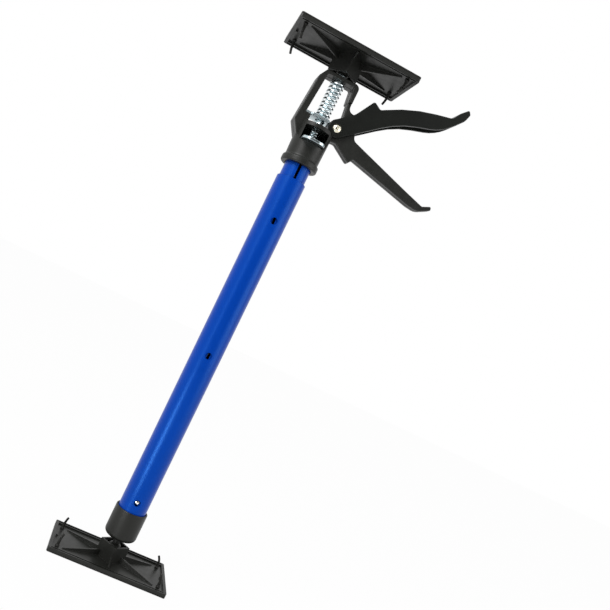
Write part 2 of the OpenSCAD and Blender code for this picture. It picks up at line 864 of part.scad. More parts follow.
module head_body()
    color("#30312d")
    difference() {
        head_solid();
        collar_bore();
        for (front = [-arm_depth, web_half])
            bar(pivot_x, pivot_z, nose_room, front, front + arm_depth - web_half);
        cam_room();
        translate([hinge_x - edge_r - seat_gap, -left_tongue / 2 - seat_gap, shoulder_z])
        cube([knee_out, left_tongue + 2 * seat_gap, plate_thickness + 3 * seat_gap]);
        brake_slot();
        bar(pivot_x, pivot_z, pin_d / 2 + press_gap, -arm_depth, arm_depth);
    }

// slot in the collar's rear wall for the brake plate's tab
module brake_slot() {
    half_height = edge_r + slot_gap;
    translate([-brake_tab / 2 - slot_gap, 0, brake_hinge_z - half_height])
    cube([brake_tab + 2 * slot_gap, brake_back + half_height, 2 * half_height]);
}

module pivot_pin() {
    front = -lever_width / 2 - pin_seat_gap;
    r = pin_head_d / 2;
    dome_r = (r * r + pin_head_height * pin_head_height) / (2 * pin_head_height);
    color("#cfccc2")
    difference() {
        union() {
            bar(pivot_x, pivot_z, pin_d / 2, front - pin_head_height / 2, -front + pin_end_height / 2);
            bar(pivot_x, pivot_z, pin_end_d / 2, -front, -front + pin_end_height);
            intersection() {
                bar(pivot_x, pivot_z, r, front - pin_head_height, front);
                translate([pivot_x, front - pin_head_height + dome_r, pivot_z])
                sphere(r = dome_r);
            }
        }
        translate([pivot_x, front - pin_head_height, pivot_z])
        sphere(d = dimple_d);
    }
}

// channel with two cheeks, a back wall, a solid curled tip and the cam web in its nose
module trigger_lever()
    color("#2a2b28")
    difference() {
        union() {
            translate([pivot_x, 0, pivot_z])
            difference() {
                slab(rounded(sized(concat([nose_top_share], lever_back_shares, lever_front_shares),
                    lever_length), arc_step), lever_width);
                slab(rounded(inset(sized(concat(lever_back_shares, lever_open_shares),
                    lever_length), back_wall), arc_step), 2 * cheek_in);
                slab(rounded(sized(nose_open_shares, lever_length), arc_step), 2 * cheek_in);
            }
            for (front = [-lever_width / 2, cheek_in])
                bar(pivot_x, pivot_z, nose_r, front, front + lever_width / 2 - cheek_in);
            cam_web();
        }
        bar(pivot_x, pivot_z, pin_d / 2 + pin_gap, -lever_width, lever_width);
    }

// curved web between the cheeks that lifts the drive plate's right tongue
module cam_web() {
    arc = [for (i = [0 : cam_steps]) cam_start + (cam_end - cam_start) * i / cam_steps];
    translate([pivot_x, 0, pivot_z])
    slab(concat(
        [for (a = arc) cam_r * [cos(a), sin(a)]],
        [for (i = [0 : cam_steps]) cam_in_r * [cos(arc[cam_steps - i]), sin(arc[cam_steps - i])]]
    ), 2 * cheek_in + cheek_gap);
}

// plate that grips the rod: round left edge in the arm, right tongue over the cam
module drive_plate()
    color("#b9c6cc")
    difference() {
        union() {
            translate([-drive_left, -drive_depth / 2, drive_z])
            cube([drive_left + drive_right, drive_depth, plate_thickness]);
            translate([hinge_x, -left_tongue / 2, drive_z])
            cube([-hinge_x, left_tongue, plate_thickness]);
            bar(hinge_x, drive_mid_z, edge_r, -left_tongue / 2, left_tongue / 2);
            translate([0, -right_tongue / 2, drive_z])
            cube([tongue_end, right_tongue, plate_thickness]);
        }
        translate([0, 0, drive_z - cut])
        cylinder(r = rod_r + drive_hole_gap, h = plate_thickness + 2 * cut);
    }

// plate that holds the rod: tab at the back, round tongue out of the window
module brake_plate() {
    back = brake_back / cos(brake_tilt);
    color("#b9c6cc")
    translate([0, brake_back, brake_hinge_z])
    rotate([brake_tilt, 0, 0])
    difference() {
        union() {
            translate([0, -back, -edge_r])
            linear_extrude(height = plate_thickness)
            polygon(rounded([
                [-brake_width / 2, 0, 0],
                [-brake_width / 2, -brake_reach, brake_round],
                [brake_width / 2, -brake_reach, brake_round],
                [brake_width / 2, 0, 0]
            ], arc_step));
            translate([0, -back, -edge_r])
            cylinder(d = brake_disc_d, h = plate_thickness);
            translate([-brake_tab / 2, -back, -edge_r])
            cube([brake_tab, back, plate_thickness]);
            translate([-brake_tab / 2, 0, 0])
            rotate([0, 90, 0])
            cylinder(r = edge_r, h = brake_tab);
        }
        translate([0, -back, -edge_r - cut])
        cylinder(r = rod_r + brake_hole_gap, h = plate_thickness + 2 * cut);
    }
}

// height of a wire's middle after some curls: the end curls lie closer than the others
function coil_height(turn, turns, closed, closed_pitch, pitch) =
    min(turn, closed) * closed_pitch
    + max(min(turn - closed, turns), 0) * pitch
    + max(turn - closed - turns, 0) * closed_pitch;

// middle of the wire at every ring, from height z up
function coil_path(r, z, length, turns, closed, closed_pitch) =
    let (pitch = (length - 2 * closed * closed_pitch) / turns, all = turns + 2 * closed)
    [for (i = [0 : all * curl_rings])
        let (turn = i / curl_rings, a = 360 * turn)
        [r * cos(a), r * sin(a), z + coil_height(turn, turns, closed, closed_pitch, pitch)]];

// ring of the wire round point i, square to the path
function wire_ring(path, i, wire_r) =
    let (ahead = path[min(i + 1, len(path) - 1)] - path[max(i - 1, 0)],
         along = ahead / norm(ahead),
         out = [path[i].x, path[i].y, 0] / norm([path[i].x, path[i].y, 0]),
         side = out - along * (out * along),
         u = side / norm(side),
         v = cross(along, u))
    [for (k = [0 : wire_sides - 1])
        path[i] + wire_r * (u * cos(360 * k / wire_sides) + v * sin(360 * k / wire_sides))];

// one unbroken tube round a path, all faces triangles
module coil(path, wire_r) {
    n = len(path);
    points = [for (i = [0 : n - 1]) each wire_ring(path, i, wire_r)];
    sides = [for (i = [0 : n - 2], k = [0 : wire_sides - 1])
        let (a = i * wire_sides + k, b = i * wire_sides + (k + 1) % wire_sides)
        each [[a, b, b + wire_sides], [a, b + wire_sides, a + wire_sides]]];
    last = (n - 1) * wire_sides;
    caps = [for (k = [1 : wire_sides - 2])
        each [[0, k + 1, k], [last, last + k, last + k + 1]]];
    polyhedron(points = points, faces = [for (f = concat(sides, caps)) [f[2], f[1], f[0]]]);
}

// least gap between curls, measured on the ring points more than half a curl apart
function least_gap(path, wire_d) =
    min([for (i = [0 : len(path) - 1], j = [i + curl_rings / 2 + 1 : 1 : len(path) - 1])
        norm(path[i] - path[j])]) - wire_d;

main_coil_z = drive_z + plate_thickness + spring_end_gap + main_wire_d / 2;
main_coil_length = open_top_z - spring_end_gap - main_wire_d / 2 - main_coil_z;
main_path = coil_path((main_spring_d - main_wire_d) / 2, main_coil_z, main_coil_length,
    main_turns, closed_turns, main_wire_d + closed_gap);
brake_high_z = brake_hinge_z + edge_r
    - (brake_back - brake_spring_d / 2) * tan(brake_tilt);
brake_coil_z = brake_high_z + spring_end_gap + brake_wire_d / 2;
brake_coil_length = window_top_z - spring_end_gap - brake_wire_d / 2 - brake_coil_z;
brake_path = coil_path((brake_spring_d - brake_wire_d) / 2, brake_coil_z, brake_coil_length,
    brake_turns, 0, 0);
echo(str("main_spring least gap to itself ", least_gap(main_path, main_wire_d)));
echo(str("brake_spring least gap to itself ", least_gap(brake_path, brake_wire_d)));

module main_spring()
    color("#c3ced2")
    coil(main_path, main_wire_d / 2);

module brake_spring()
    color("#c3ced2")
    coil(brake_path, brake_wire_d / 2);

// hexagonal rod, turned round and riveted over in the head's ball
module push_rod()
    color("#c5cbce")
    union() {
        translate([0, 0, rod_z])
        rotate([0, 0, 30])
        cylinder(r = rod_r, h = rod_length, $fn = 6);
        translate([0, 0, rod_shoulder_z - rod_rivet_height])
        cylinder(d = rod_end_d, h = rod_end_length + 2 * rod_rivet_height);
        translate([0, 0, rivet_z])
        cylinder(d = rod_rivet_d, h = rod_rivet_height);
    }

module rod_stop()
    color("#3a3a38")
    translate([0, 0, stop_z])
    difference() {
        cylinder(d = stop_d, h = stop_height);
        translate([0, 0, -cut])
        rotate([0, 0, 30])
        cylinder(r = rod_r + press_gap, h = stop_height + 2 * cut, $fn = 6);
    }

// ball on the rod's round end, with a counterbore for the riveted head
module head_ball_stud() {
    seat_z = rod_shoulder_z + axial_gap;
    rivet_seat_z = rivet_z - axial_gap;
    color("#262624")
    difference() {
        translate([0, 0, head_ball_z])
        sphere(r = ball_r);
        translate([-ball_d, -ball_d, seat_z - ball_d])
        cube([2 * ball_d, 2 * ball_d, ball_d]);
        translate([0, 0, seat_z - cut])
        cylinder(d = rod_end_d + 2 * ball_bore_gap, h = ball_d);
        translate([0, 0, rivet_seat_z])
        cylinder(d = rod_rivet_d + 2 * axial_gap, h = ball_d);
    }
}

foot_pad();
foot_plate();
foot_ball_stud();
foot_cup();
outer_tube();
inner_tube();
snap_button();
snap_spring();
head_body();
pivot_pin();
trigger_lever();
drive_plate();
main_spring();
brake_plate();
brake_spring();
push_rod();
rod_stop();
head_ball_stud();
head_plate();
head_pad();
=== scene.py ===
# %% [markdown]
# # A telescopic support pole with a squeeze head
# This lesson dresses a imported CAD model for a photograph-like picture. The CAD model stays
# the fixed frame: every piece made here sits in its millimetres and rides on its bodies.

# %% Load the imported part
import json
import math

import bmesh
import bpy
import numpy as np
from mathutils import Matrix, Vector


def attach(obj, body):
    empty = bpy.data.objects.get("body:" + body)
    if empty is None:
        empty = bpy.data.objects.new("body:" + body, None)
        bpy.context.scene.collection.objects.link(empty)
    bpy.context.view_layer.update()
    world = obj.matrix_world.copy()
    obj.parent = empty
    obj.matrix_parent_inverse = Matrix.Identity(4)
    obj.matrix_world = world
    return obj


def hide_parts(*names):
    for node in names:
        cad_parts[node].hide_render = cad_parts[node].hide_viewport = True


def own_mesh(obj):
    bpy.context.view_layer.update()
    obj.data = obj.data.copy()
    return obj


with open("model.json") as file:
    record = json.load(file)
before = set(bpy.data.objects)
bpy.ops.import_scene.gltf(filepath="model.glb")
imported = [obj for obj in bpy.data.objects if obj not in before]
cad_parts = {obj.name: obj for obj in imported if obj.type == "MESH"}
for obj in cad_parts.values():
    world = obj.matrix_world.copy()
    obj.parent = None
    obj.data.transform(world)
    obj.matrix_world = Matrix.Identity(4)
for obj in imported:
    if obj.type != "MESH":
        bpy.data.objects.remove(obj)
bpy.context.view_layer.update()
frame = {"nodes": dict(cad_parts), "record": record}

MM = 0.001

# %% [markdown]
# ## The camera
# A camera is a point, three turns and a focal length. These were solved from the corners of
# the plates, the holes and the handles in the photograph. The picture's middle isn't the
# lens's middle there, so the lens is shifted a little.

# %% Place the camera
IMAGE_PX = 610
FOCAL_PX = 655.62
LENS_MIDDLE_PX = (200.0, 355.0)
CAMERA_MM = (-96.21, -649.42, 279.87)
CAMERA_TURNS = (-4.170, -7.897, -25.792)
SENSOR_MM = 36
CLIP_M = (0.01, 50)


def camera_axes(pitch, yaw, roll):
    """Rows are the camera's right, forward and up: turn about Z by yaw, about X by pitch,
    then about the line of sight by roll."""
    p, y, r = np.radians([pitch, yaw, roll])
    about_z = np.array([[np.cos(y), np.sin(y), 0], [-np.sin(y), np.cos(y), 0], [0, 0, 1]])
    about_x = np.array([[1, 0, 0], [0, np.cos(p), np.sin(p)], [0, -np.sin(p), np.cos(p)]])
    about_y = np.array([[np.cos(r), 0, -np.sin(r)], [0, 1, 0], [np.sin(r), 0, np.cos(r)]])
    return about_y @ about_x @ about_z


scene = bpy.context.scene
camera_data = bpy.data.cameras.new("camera")
camera = bpy.data.objects.new("camera", camera_data)
scene.collection.objects.link(camera)
right, forward, up = camera_axes(*CAMERA_TURNS)
pose = np.eye(4)
pose[:3, 0], pose[:3, 1], pose[:3, 2] = right, up, -forward
pose[:3, 3] = np.array(CAMERA_MM) * MM
camera.matrix_world = Matrix(pose.tolist())
camera_data.sensor_width = SENSOR_MM
camera_data.lens = FOCAL_PX * SENSOR_MM / IMAGE_PX
camera_data.shift_x = (IMAGE_PX / 2 - LENS_MIDDLE_PX[0]) / IMAGE_PX
camera_data.shift_y = (LENS_MIDDLE_PX[1] - IMAGE_PX / 2) / IMAGE_PX
camera_data.clip_start, camera_data.clip_end = CLIP_M
scene.camera = camera
scene.view_settings.view_transform = "Standard"
print("lens", round(camera_data.lens, 2), "shift", round(camera_data.shift_x, 3),
      round(camera_data.shift_y, 3))

# %% [markdown]
# ## Light, floor and backdrop
# A studio picture of a black tool needs soft light from several sides and a white ground.
# The world gives an even base. Camera, mirror and glass rays see it white, so the background
# stays white and metal shows it, but it sends less light than that onto the plastic. A key
# lamp and a fill lamp shape the tool. Two smaller lamps on the left are seen by mirror rays
# alone and draw the narrow bright streak down the painted tube.

# %% Light the studio
WORLD_LIGHT = 0.6
LAMPS = (
    # name, place in mm, width and height in mm, watts, whether it lights matt surfaces too
    ("key_lamp", (-1000, -900, 1300), (700, 700), 20, True),
    ("fill_lamp", (1300, -700, 500), (900, 900), 6, True),
    ("strip_lamp", (-760, -930, 180), (240, 900), 1.6, False),
    ("foot_lamp", (-180, -240, 80), (85, 150), 0.5, False),
)
AIM_MM = (0, 0, 300)
WHITE = (1, 1, 1, 1)


def wire(tree, kind, **inputs):
    """Adds a shader node; each keyword names a socket, and its value is a number, a colour
    or another node's output."""
    node = tree.nodes.new(kind)
    for key, value in inputs.items():
        socket = node.inputs[int(key[1:])] if key[0] == "_" else node.inputs[key.replace("_", " ")]
        if isinstance(value, bpy.types.NodeSocket):
            tree.links.new(value, socket)
        else:
            socket.default_value = value
    return node


def looked_at(tree):
    """1 for the rays that look: the camera's, a mirror's and a glass's. 0 for the rays that
    only carry light from one surface to the next."""
    rays = wire(tree, "ShaderNodeLightPath").outputs
    found = rays["Is Camera Ray"]
    for kind in ("Is Glossy Ray", "Is Transmission Ray"):
        either = wire(tree, "ShaderNodeMath", _0=found, _1=rays[kind])
        either.operation = "MAXIMUM"
        found = either.outputs[0]
    return found


world = bpy.data.worlds.new("studio")
scene.world = world
world.use_nodes = True
tree = world.node_tree
tree.nodes.clear()
looking = looked_at(tree)
base = wire(tree, "ShaderNodeBackground", Color=WHITE, Strength=WORLD_LIGHT)
white = wire(tree, "ShaderNodeBackground", Color=WHITE, Strength=1.0)
mixed = wire(tree, "ShaderNodeMixShader", _0=looking, _1=base.outputs[0], _2=white.outputs[0])
wire(tree, "ShaderNodeOutputWorld", Surface=mixed.outputs[0])

for name, place, size, watts, matt in LAMPS:
    lamp = bpy.data.lights.new(name, "AREA")
    lamp.shape = "RECTANGLE"
    lamp.energy, lamp.size, lamp.size_y = watts, size[0] * MM, size[1] * MM
    holder = bpy.data.objects.new(name, lamp)
    scene.collection.objects.link(holder)
    holder.visible_camera, holder.visible_diffuse = False, matt
    spot = Vector(place) * MM
    aim = Vector(AIM_MM) * MM - spot
    holder.location = spot
    holder.rotation_mode = "QUATERNION"
    holder.rotation_quaternion = aim.to_track_quat("-Z", "Y")
    print(name, "watts", watts, "distance in m", round(aim.length, 2))

# %% [markdown]
# The floor is one large pale plane. For the camera most of it is a plain white, and the rest
# is lit, so the tool's soft shadow stays. A dark card stands behind the camera, as in a real
# studio: faces that look at the camera mirror the card and stay deep, and rounded edges mirror
# the white beside it. Mirror rays alone see the card, so it takes no light from the tool.

# %% Lay the floor and stand the card
FLOOR_HALF_MM = 6000
FLOOR_DROP_MM = 0.3
FLOOR_WHITE_SHARE = 0.97
FLOOR_GREY, CARD_GREY = 0.75, 0.02
CARD_MM = ((-900, -1700, -500), (1100, -1700, 1150))
SQUARE = ((-1, -1), (1, -1), (1, 1), (-1, 1))


def stage_sheet(name, corners_mm):
    """A flat sheet of the studio from its four corners, with an empty shader tree."""
    mesh = bpy.data.meshes.new(name)
    mesh.from_pydata((np.array(corners_mm, float) * MM).tolist(), [], [(0, 1, 2, 3)])
    sheet = bpy.data.objects.new(name, mesh)
    scene.collection.objects.link(sheet)
    look = bpy.data.materials.new(name + "_look")
    look.use_nodes = True
    look.node_tree.nodes.clear()
    mesh.materials.append(look)
    return sheet, look.node_tree


floor, tree = stage_sheet("floor", [(x * FLOOR_HALF_MM, y * FLOOR_HALF_MM, -FLOOR_DROP_MM)
                                    for x, y in SQUARE])
share = wire(tree, "ShaderNodeMath", _0=looked_at(tree), _1=FLOOR_WHITE_SHARE)
share.operation = "MULTIPLY"
lit = wire(tree, "ShaderNodeBsdfDiffuse", Color=(FLOOR_GREY, FLOOR_GREY, FLOOR_GREY, 1))
plain = wire(tree, "ShaderNodeEmission", Color=WHITE, Strength=1.0)
both = wire(tree, "ShaderNodeMixShader", _0=share.outputs[0], _1=lit.outputs[0],
            _2=plain.outputs[0])
wire(tree, "ShaderNodeOutputMaterial", Surface=both.outputs[0])

(x0, y0, z0), (x1, y1, z1) = CARD_MM
card, tree = stage_sheet("dark_card", [(x0, y0, z0), (x1, y1, z0), (x1, y1, z1), (x0, y0, z1)])
dark = wire(tree, "ShaderNodeBsdfDiffuse", Color=(CARD_GREY, CARD_GREY, CARD_GREY, 1))
wire(tree, "ShaderNodeOutputMaterial", Surface=dark.outputs[0])
card.visible_camera = card.visible_diffuse = card.visible_shadow = False
card.visible_transmission = False
print("floor", [round(side, 2) for side in floor.dimensions], "card",
      [round(side, 2) for side in card.dimensions])

# %% [markdown]
# ## Finishes
# Each finish is a Principled shader. A fine noise on Object coordinates makes the bump, so it
# stays on the piece, and a slower noise varies colour and roughness. A Bevel node rounds the
# light on edges that the mesh leaves sharp, as on every moulding. Bright metal has neither
# bump nor Bevel, because its edges are rounded in the mesh and its mirror has to stay clean.

# %% Make the finishes
LOOKS = {}
NOISE_LOW, NOISE_HIGH = 0.3, 0.7


def finish(name, colours, roughness, grain_mm, bump, blotch_mm=12.0, edge_mm=0.35, **sockets):
    """colours and roughness are (low, high) pairs that the slow noise runs between, over
    spots of blotch_mm. grain_mm is the size of the fine bump, bump is (strength, height in
    mm), or None for a smooth surface whose edges the mesh already rounds, and edge_mm is the
    radius that the light sees on a sharp edge."""
    look = bpy.data.materials.new(name + "_finish")
    look.use_nodes = True
    tree = look.node_tree
    tree.nodes.clear()
    place = wire(tree, "ShaderNodeTexCoord").outputs["Object"]
    slow = wire(tree, "ShaderNodeTexNoise", Vector=place, Scale=1 / (blotch_mm * MM),
                Detail=3.0, Roughness=0.6)
    # a colour Mix node has its two colours at inputs 6 and 7 and its result at output 2
    colour = wire(tree, "ShaderNodeMix")
    colour.data_type = "RGBA"
    tree.links.new(slow.outputs[0], colour.inputs[0])
    colour.inputs[6].default_value = (*colours[0], 1)
    colour.inputs[7].default_value = (*colours[1], 1)
    rough = wire(tree, "ShaderNodeMapRange", Value=slow.outputs[0], From_Min=NOISE_LOW,
                 From_Max=NOISE_HIGH, To_Min=roughness[0], To_Max=roughness[1])
    shader = wire(tree, "ShaderNodeBsdfPrincipled", Base_Color=colour.outputs[2],
                  Roughness=rough.outputs[0], **sockets)
    if bump is not None:
        grain = wire(tree, "ShaderNodeTexNoise", Vector=place, Scale=1 / (grain_mm * MM),
                     Detail=2.0, Roughness=0.55)
        edge = wire(tree, "ShaderNodeBevel", Radius=edge_mm * MM)
        relief = wire(tree, "ShaderNodeBump", Strength=bump[0], Distance=bump[1] * MM,
                      Height=grain.outputs[0], Normal=edge.outputs[0])
        tree.links.new(relief.outputs[0], shader.inputs["Normal"])
    wire(tree, "ShaderNodeOutputMaterial", Surface=shader.outputs[0])
    LOOKS[name] = look


finish("moulded_black", ((0.0085, 0.0090, 0.0076), (0.0140, 0.0145, 0.0124)),
       (0.34, 0.46), 0.5, (0.30, 0.06), Specular_IOR_Level=0.28)
finish("lever_black", ((0.006, 0.0068, 0.0058), (0.009, 0.0100, 0.0085)),
       (0.28, 0.36), 0.9, (0.15, 0.03), Specular_IOR_Level=0.18)
finish("pad_rubber", ((0.008, 0.008, 0.007), (0.014, 0.014, 0.012)),
       (0.50, 0.62), 0.35, (0.4, 0.05), Specular_IOR_Level=0.2)
finish("tube_blue", ((0.0003, 0.038, 0.31), (0.0005, 0.042, 0.36)),
       (0.27, 0.32), 1.4, (0.03, 0.02), blotch_mm=30.0, Specular_IOR_Level=0.45,
       Specular_Tint=(0.12, 0.45, 1.0, 1.0))
finish("bright_zinc", ((0.50, 0.59, 0.62), (0.60, 0.69, 0.71)),
       (0.26, 0.32), 0.4, None, blotch_mm=14.0, Metallic=1.0)
finish("bright_wire", ((0.68, 0.74, 0.76), (0.80, 0.85, 0.86)),
       (0.14, 0.18), 0.4, None, blotch_mm=14.0, Metallic=1.0)
finish("nickel", ((0.76, 0.72, 0.58), (0.84, 0.80, 0.66)),
       (0.08, 0.12), 0.5, None, blotch_mm=3.0, Metallic=1.0)
finish("spring_steel", ((0.45, 0.46, 0.48), (0.60, 0.61, 0.62)),
       (0.28, 0.42), 0.6, (0.10, 0.02), blotch_mm=5.0, Metallic=1.0)
finish("stop_plastic", ((0.020, 0.020, 0.020), (0.030, 0.030, 0.030)),
       (0.45, 0.60), 0.6, (0.2, 0.03))
print("finishes", sorted(LOOKS))

# %% [markdown]
# ## Carried-over solids
# A solid whose shape is already right only needs its finish. The record says which slot each
# node takes.

# %% Give every CAD node its finish
for part in frame["record"]["subparts"]:
    mesh = frame["nodes"][part["node"]].data
    mesh.materials.clear()
    mesh.materials.append(LOOKS[part["material_slot"]])

# %% [markdown]
# ## Tools for making shapes
# Three kinds of surface make this pole: an outline pushed through a depth with rounded edges,
# a profile turned about an axis, and a wire carried along a path. All are grids of points
# worked out as whole arrays, and every grid closes on itself from one side to the other.

# %% Grids and meshes
MERGE_M = 1e-7


def grid_faces(rows, columns):
    """Four-sided faces between the points of a grid stored row by row, whose last column
    joins the first."""
    row = np.arange(rows - 1)[:, None] * columns
    column = np.arange(columns)[None, :]
    following = (column + 1) % columns
    corners = [row + column, row + following, row + columns + following, row + columns + column]
    return np.stack(corners, -1).reshape(-1, 4).tolist()


def make(name, parts):
    """One object from (points in mm, faces) pairs; doubles merge and every shell is turned
    outwards."""
    points, faces = [], []
    for part_points, part_faces in parts:
        start = len(points)
        points += (np.asarray(part_points, float).reshape(-1, 3) * MM).tolist()
        faces += [[start + i for i in face] for face in part_faces]
    mesh = bpy.data.meshes.new(name)
    mesh.from_pydata(points, [], faces)
    work = bmesh.new()
    work.from_mesh(mesh)
    bmesh.ops.remove_doubles(work, verts=work.verts, dist=MERGE_M)
    bmesh.ops.recalc_face_normals(work, faces=work.faces)
    work.to_mesh(mesh)
    work.free()
    thing = bpy.data.objects.new(name, mesh)
    scene.collection.objects.link(thing)
    return thing


def unit(v):
    """Each vector over its own length."""
    return v / np.linalg.norm(v, axis=-1, keepdims=True)


# %% [markdown]
# A moulding or a stamping is drawn as an outline of straight sides with a radius at each corner.
# Pushing the outline inwards while it moves through the depth rounds the long edges, so the
# light finds an edge to run along.


# %% Outlines and slabs
def outline(corners, inset=0.0, step=9.0):
    """A closed outline from corners (across, up, radius), moved inwards by inset. At each
    corner the two sides meet an arc; its radius shrinks by the inset on an outer corner and
    grows on an inner one, and its middle lies radius times tan(half the turn) along a side
    and one radius off it."""
    c = np.asarray(corners, float)
    following = np.roll(c, -1, 0)
    if np.sum(c[:, 0] * following[:, 1] - following[:, 0] * c[:, 1]) < 0:
        c = c[::-1]
    before, here, after = np.roll(c, 1, 0)[:, :2], c[:, :2], np.roll(c, -1, 0)[:, :2]
    come, go = unit(here - before), unit(after - here)
    come_left = np.stack([-come[:, 1], come[:, 0]], 1)
    go_left = np.stack([-go[:, 1], go[:, 0]], 1)
    turn = np.arctan2(come[:, 0] * go[:, 1] - come[:, 1] * go[:, 0], (come * go).sum(1))
    way = np.sign(turn)
    here = here + (come_left + go_left) / (1 + (come_left * go_left).sum(1))[:, None] * inset
    radius = np.where(c[:, 2] == 0, 0, np.maximum(c[:, 2] - way * inset, 0))
    count = np.where(c[:, 2] == 0, 0, np.maximum(2, np.ceil(np.abs(turn) / math.radians(step))))
    count = count.astype(int)
    start = here - come * (radius * np.tan(np.abs(turn) / 2))[:, None]
    middle = start + come_left * (way * radius)[:, None]
    which = np.repeat(np.arange(len(c)), count + 1)
    place = np.concatenate([np.arange(n + 1) for n in count])
    angle = turn[which] * place / np.maximum(count[which], 1)
    arm = start[which] - middle[which]
    cos, sin = np.cos(angle), np.sin(angle)
    swung = np.stack([arm[:, 0] * cos - arm[:, 1] * sin, arm[:, 0] * sin + arm[:, 1] * cos], 1)
    return middle[which] + swung


def slab(corners, profile, flat="xz", step=9.0):
    """An outline carried through a depth. profile is a list of (inset, depth), and flat
    names the plane of the outline."""
    rings = []
    for inset, depth in profile:
        ring = outline(corners, inset, step)
        fill = np.full(len(ring), depth)
        order = (ring[:, 0], fill, ring[:, 1]) if flat == "xz" else (ring[:, 0], ring[:, 1], fill)
        rings.append(np.stack(order, 1))
    points = np.array(rings)
    rows, columns = points.shape[:2]
    faces = grid_faces(rows, columns)
    faces.append(list(range(columns)))
    faces.append(list(range((rows - 1) * columns, rows * columns)))
    return points.reshape(-1, 3), faces


EDGE_STEPS = 5


def round_edge(low, high, radius, groove=None):
    """Profile of a slab from depth low to high with both edges rounded: the inset falls as
    one minus the sine of the angle while the depth grows as one minus its cosine. groove is
    (half width, depth) of the parting line halfway, or nothing."""
    t = np.linspace(0, math.pi / 2, EDGE_STEPS + 1)
    rise = [(radius * (1 - math.sin(a)), low + radius * (1 - math.cos(a))) for a in t]
    fall = [(inset, low + high - depth) for inset, depth in reversed(rise)]
    if groove is None:
        return rise + fall
    half, deep = groove
    middle = (low + high) / 2
    return rise + [(0, middle - 2 * half), (deep, middle - half / 2), (deep, middle + half / 2),
                   (0, middle + 2 * half)] + fall


def box(low, high):
    """A box from two corners, as (points, faces)."""
    (x0, y0, z0), (x1, y1, z1) = low, high
    sides = [(x0, z0, 0), (x1, z0, 0), (x1, z1, 0), (x0, z1, 0)]
    return slab(sides, [(0, y0), (0, y1)])


# %% [markdown]
# Tubes, cups, balls and pins are turned: a profile of (radius, height) swings about an axis.
# A spring or a tail is a round wire, a ring of points carried along a path.


# %% Turned shapes and wires
def arc(middle, radius, first, last, steps=8):
    """Points on a circle in a profile, from one angle to another in degrees."""
    a = np.radians(np.linspace(first, last, steps + 1))
    return [(middle[0] + radius * math.cos(t), middle[1] + radius * math.sin(t)) for t in a]


def revolve(profile, segments=96, axis="z", centre=(0, 0, 0), start=0.0, stop=360.0):
    """A profile of (radius, height) turned about an axis. A full turn closes on itself, and
    a part turn gets its two end faces."""
    full = stop - start == 360.0
    count = segments if full else segments + 1
    a = np.radians(start + (stop - start) * np.arange(count) / segments)
    p = np.asarray(profile, float)
    r, h = p[:, 0][None, :], p[:, 1][None, :]
    across, along = r * np.cos(a)[:, None], r * np.sin(a)[:, None]
    height = np.broadcast_to(h, across.shape)
    order = {"z": (across, along, height), "y": (across, height, along)}[axis]
    points = np.stack(order, -1) + np.asarray(centre, float)
    columns = len(p)
    closed = np.concatenate([points, points[:1]]) if full else points
    faces = grid_faces(len(closed), columns)
    if not full:
        faces.append(list(range(columns)))
        faces.append([(count - 1) * columns + i for i in range(columns)])
    return closed.reshape(-1, 3), faces


BAR_SEGMENTS = 64


def bar(x, z, radius, front, back):
    """A round bar along Y, as (points, faces)."""
    return revolve([(0, front), (radius, front), (radius, back), (0, back)], BAR_SEGMENTS, "y",
                   (x, 0, z))


def wire_along(path, radius, sides=14):
    """A round wire along a path: each ring lies square to the path, and one of its axes
    points away from the path's own middle line. radius may differ from point to point."""
    path = np.asarray(path, float)
    ahead = unit(np.gradient(path, axis=0))
    away = path - path.mean(0)
    away[:, 2] = 0
    away = away + np.array([1e-6, 0, 0])
    away = unit(away - ahead * (away * ahead).sum(1)[:, None])
    third = np.cross(ahead, away)
    a = 2 * math.pi * np.arange(sides) / sides
    size = np.broadcast_to(np.asarray(radius, float), (len(path),))[:, None, None]
    ring = away[:, None] * np.cos(a)[None, :, None] + third[:, None] * np.sin(a)[None, :, None]
    points = path[:, None] + ring * size
    faces = grid_faces(len(path), sides)
    faces.append(list(range(sides)))
    faces.append([(len(path) - 1) * sides + i for i in range(sides)])
    return points.reshape(-1, 3), faces


# %% [markdown]
# Cuts and joins between closed shapes are Boolean modifiers with the exact solver, worked out
# at once so that the finished piece holds only its own mesh.

# %% Cut, join and hand over
CREASE = 38.0


def combine(thing, joins=(), cuts=()):
    """Joins and then cuts (points, faces) shapes, and keeps the result as the mesh."""
    helpers = []
    for way, shapes in (("UNION", joins), ("DIFFERENCE", cuts)):
        for shape in shapes:
            helper = make("helper", [shape])
            helpers.append(helper)
            step = thing.modifiers.new("step", "BOOLEAN")
            step.operation, step.solver, step.object = way, "EXACT", helper
    bpy.context.view_layer.update()
    ready = thing.evaluated_get(bpy.context.evaluated_depsgraph_get())
    mesh = bpy.data.meshes.new_from_object(ready)
    thing.modifiers.clear()
    thing.data = mesh
    for helper in helpers:
        bpy.data.objects.remove(helper)


def hand_over(thing, body, slot, nodes, crease=CREASE, look=None):
    """Smooths faces that meet at less than the crease angle, keeps flats flat with weighted
    normals, gives the piece its finish and its body, and hides the CAD nodes that it stands
    for. look names a finish other than the slot's own."""
    mesh = thing.data
    mesh.materials.clear()
    mesh.materials.append(LOOKS[look or slot])
    mesh.polygons.foreach_set("use_smooth", [True] * len(mesh.polygons))
    mesh.set_sharp_from_angle(angle=math.radians(crease))
    even = thing.modifiers.new("even_normals", "WEIGHTED_NORMAL")
    even.keep_sharp = True
    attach(thing, body)
    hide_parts(*nodes)
    print(thing.name, "faces", len(mesh.polygons), "body", body)


# %% [markdown]
# ## Heights along the pole
# The sizes below repeat the CAD source's, in millimetres from the foot pad's lower face. Two are
# the picture's own: the frame opening's upper edge and the step in its right arm were read from
# the photograph again after the CAD was closed.

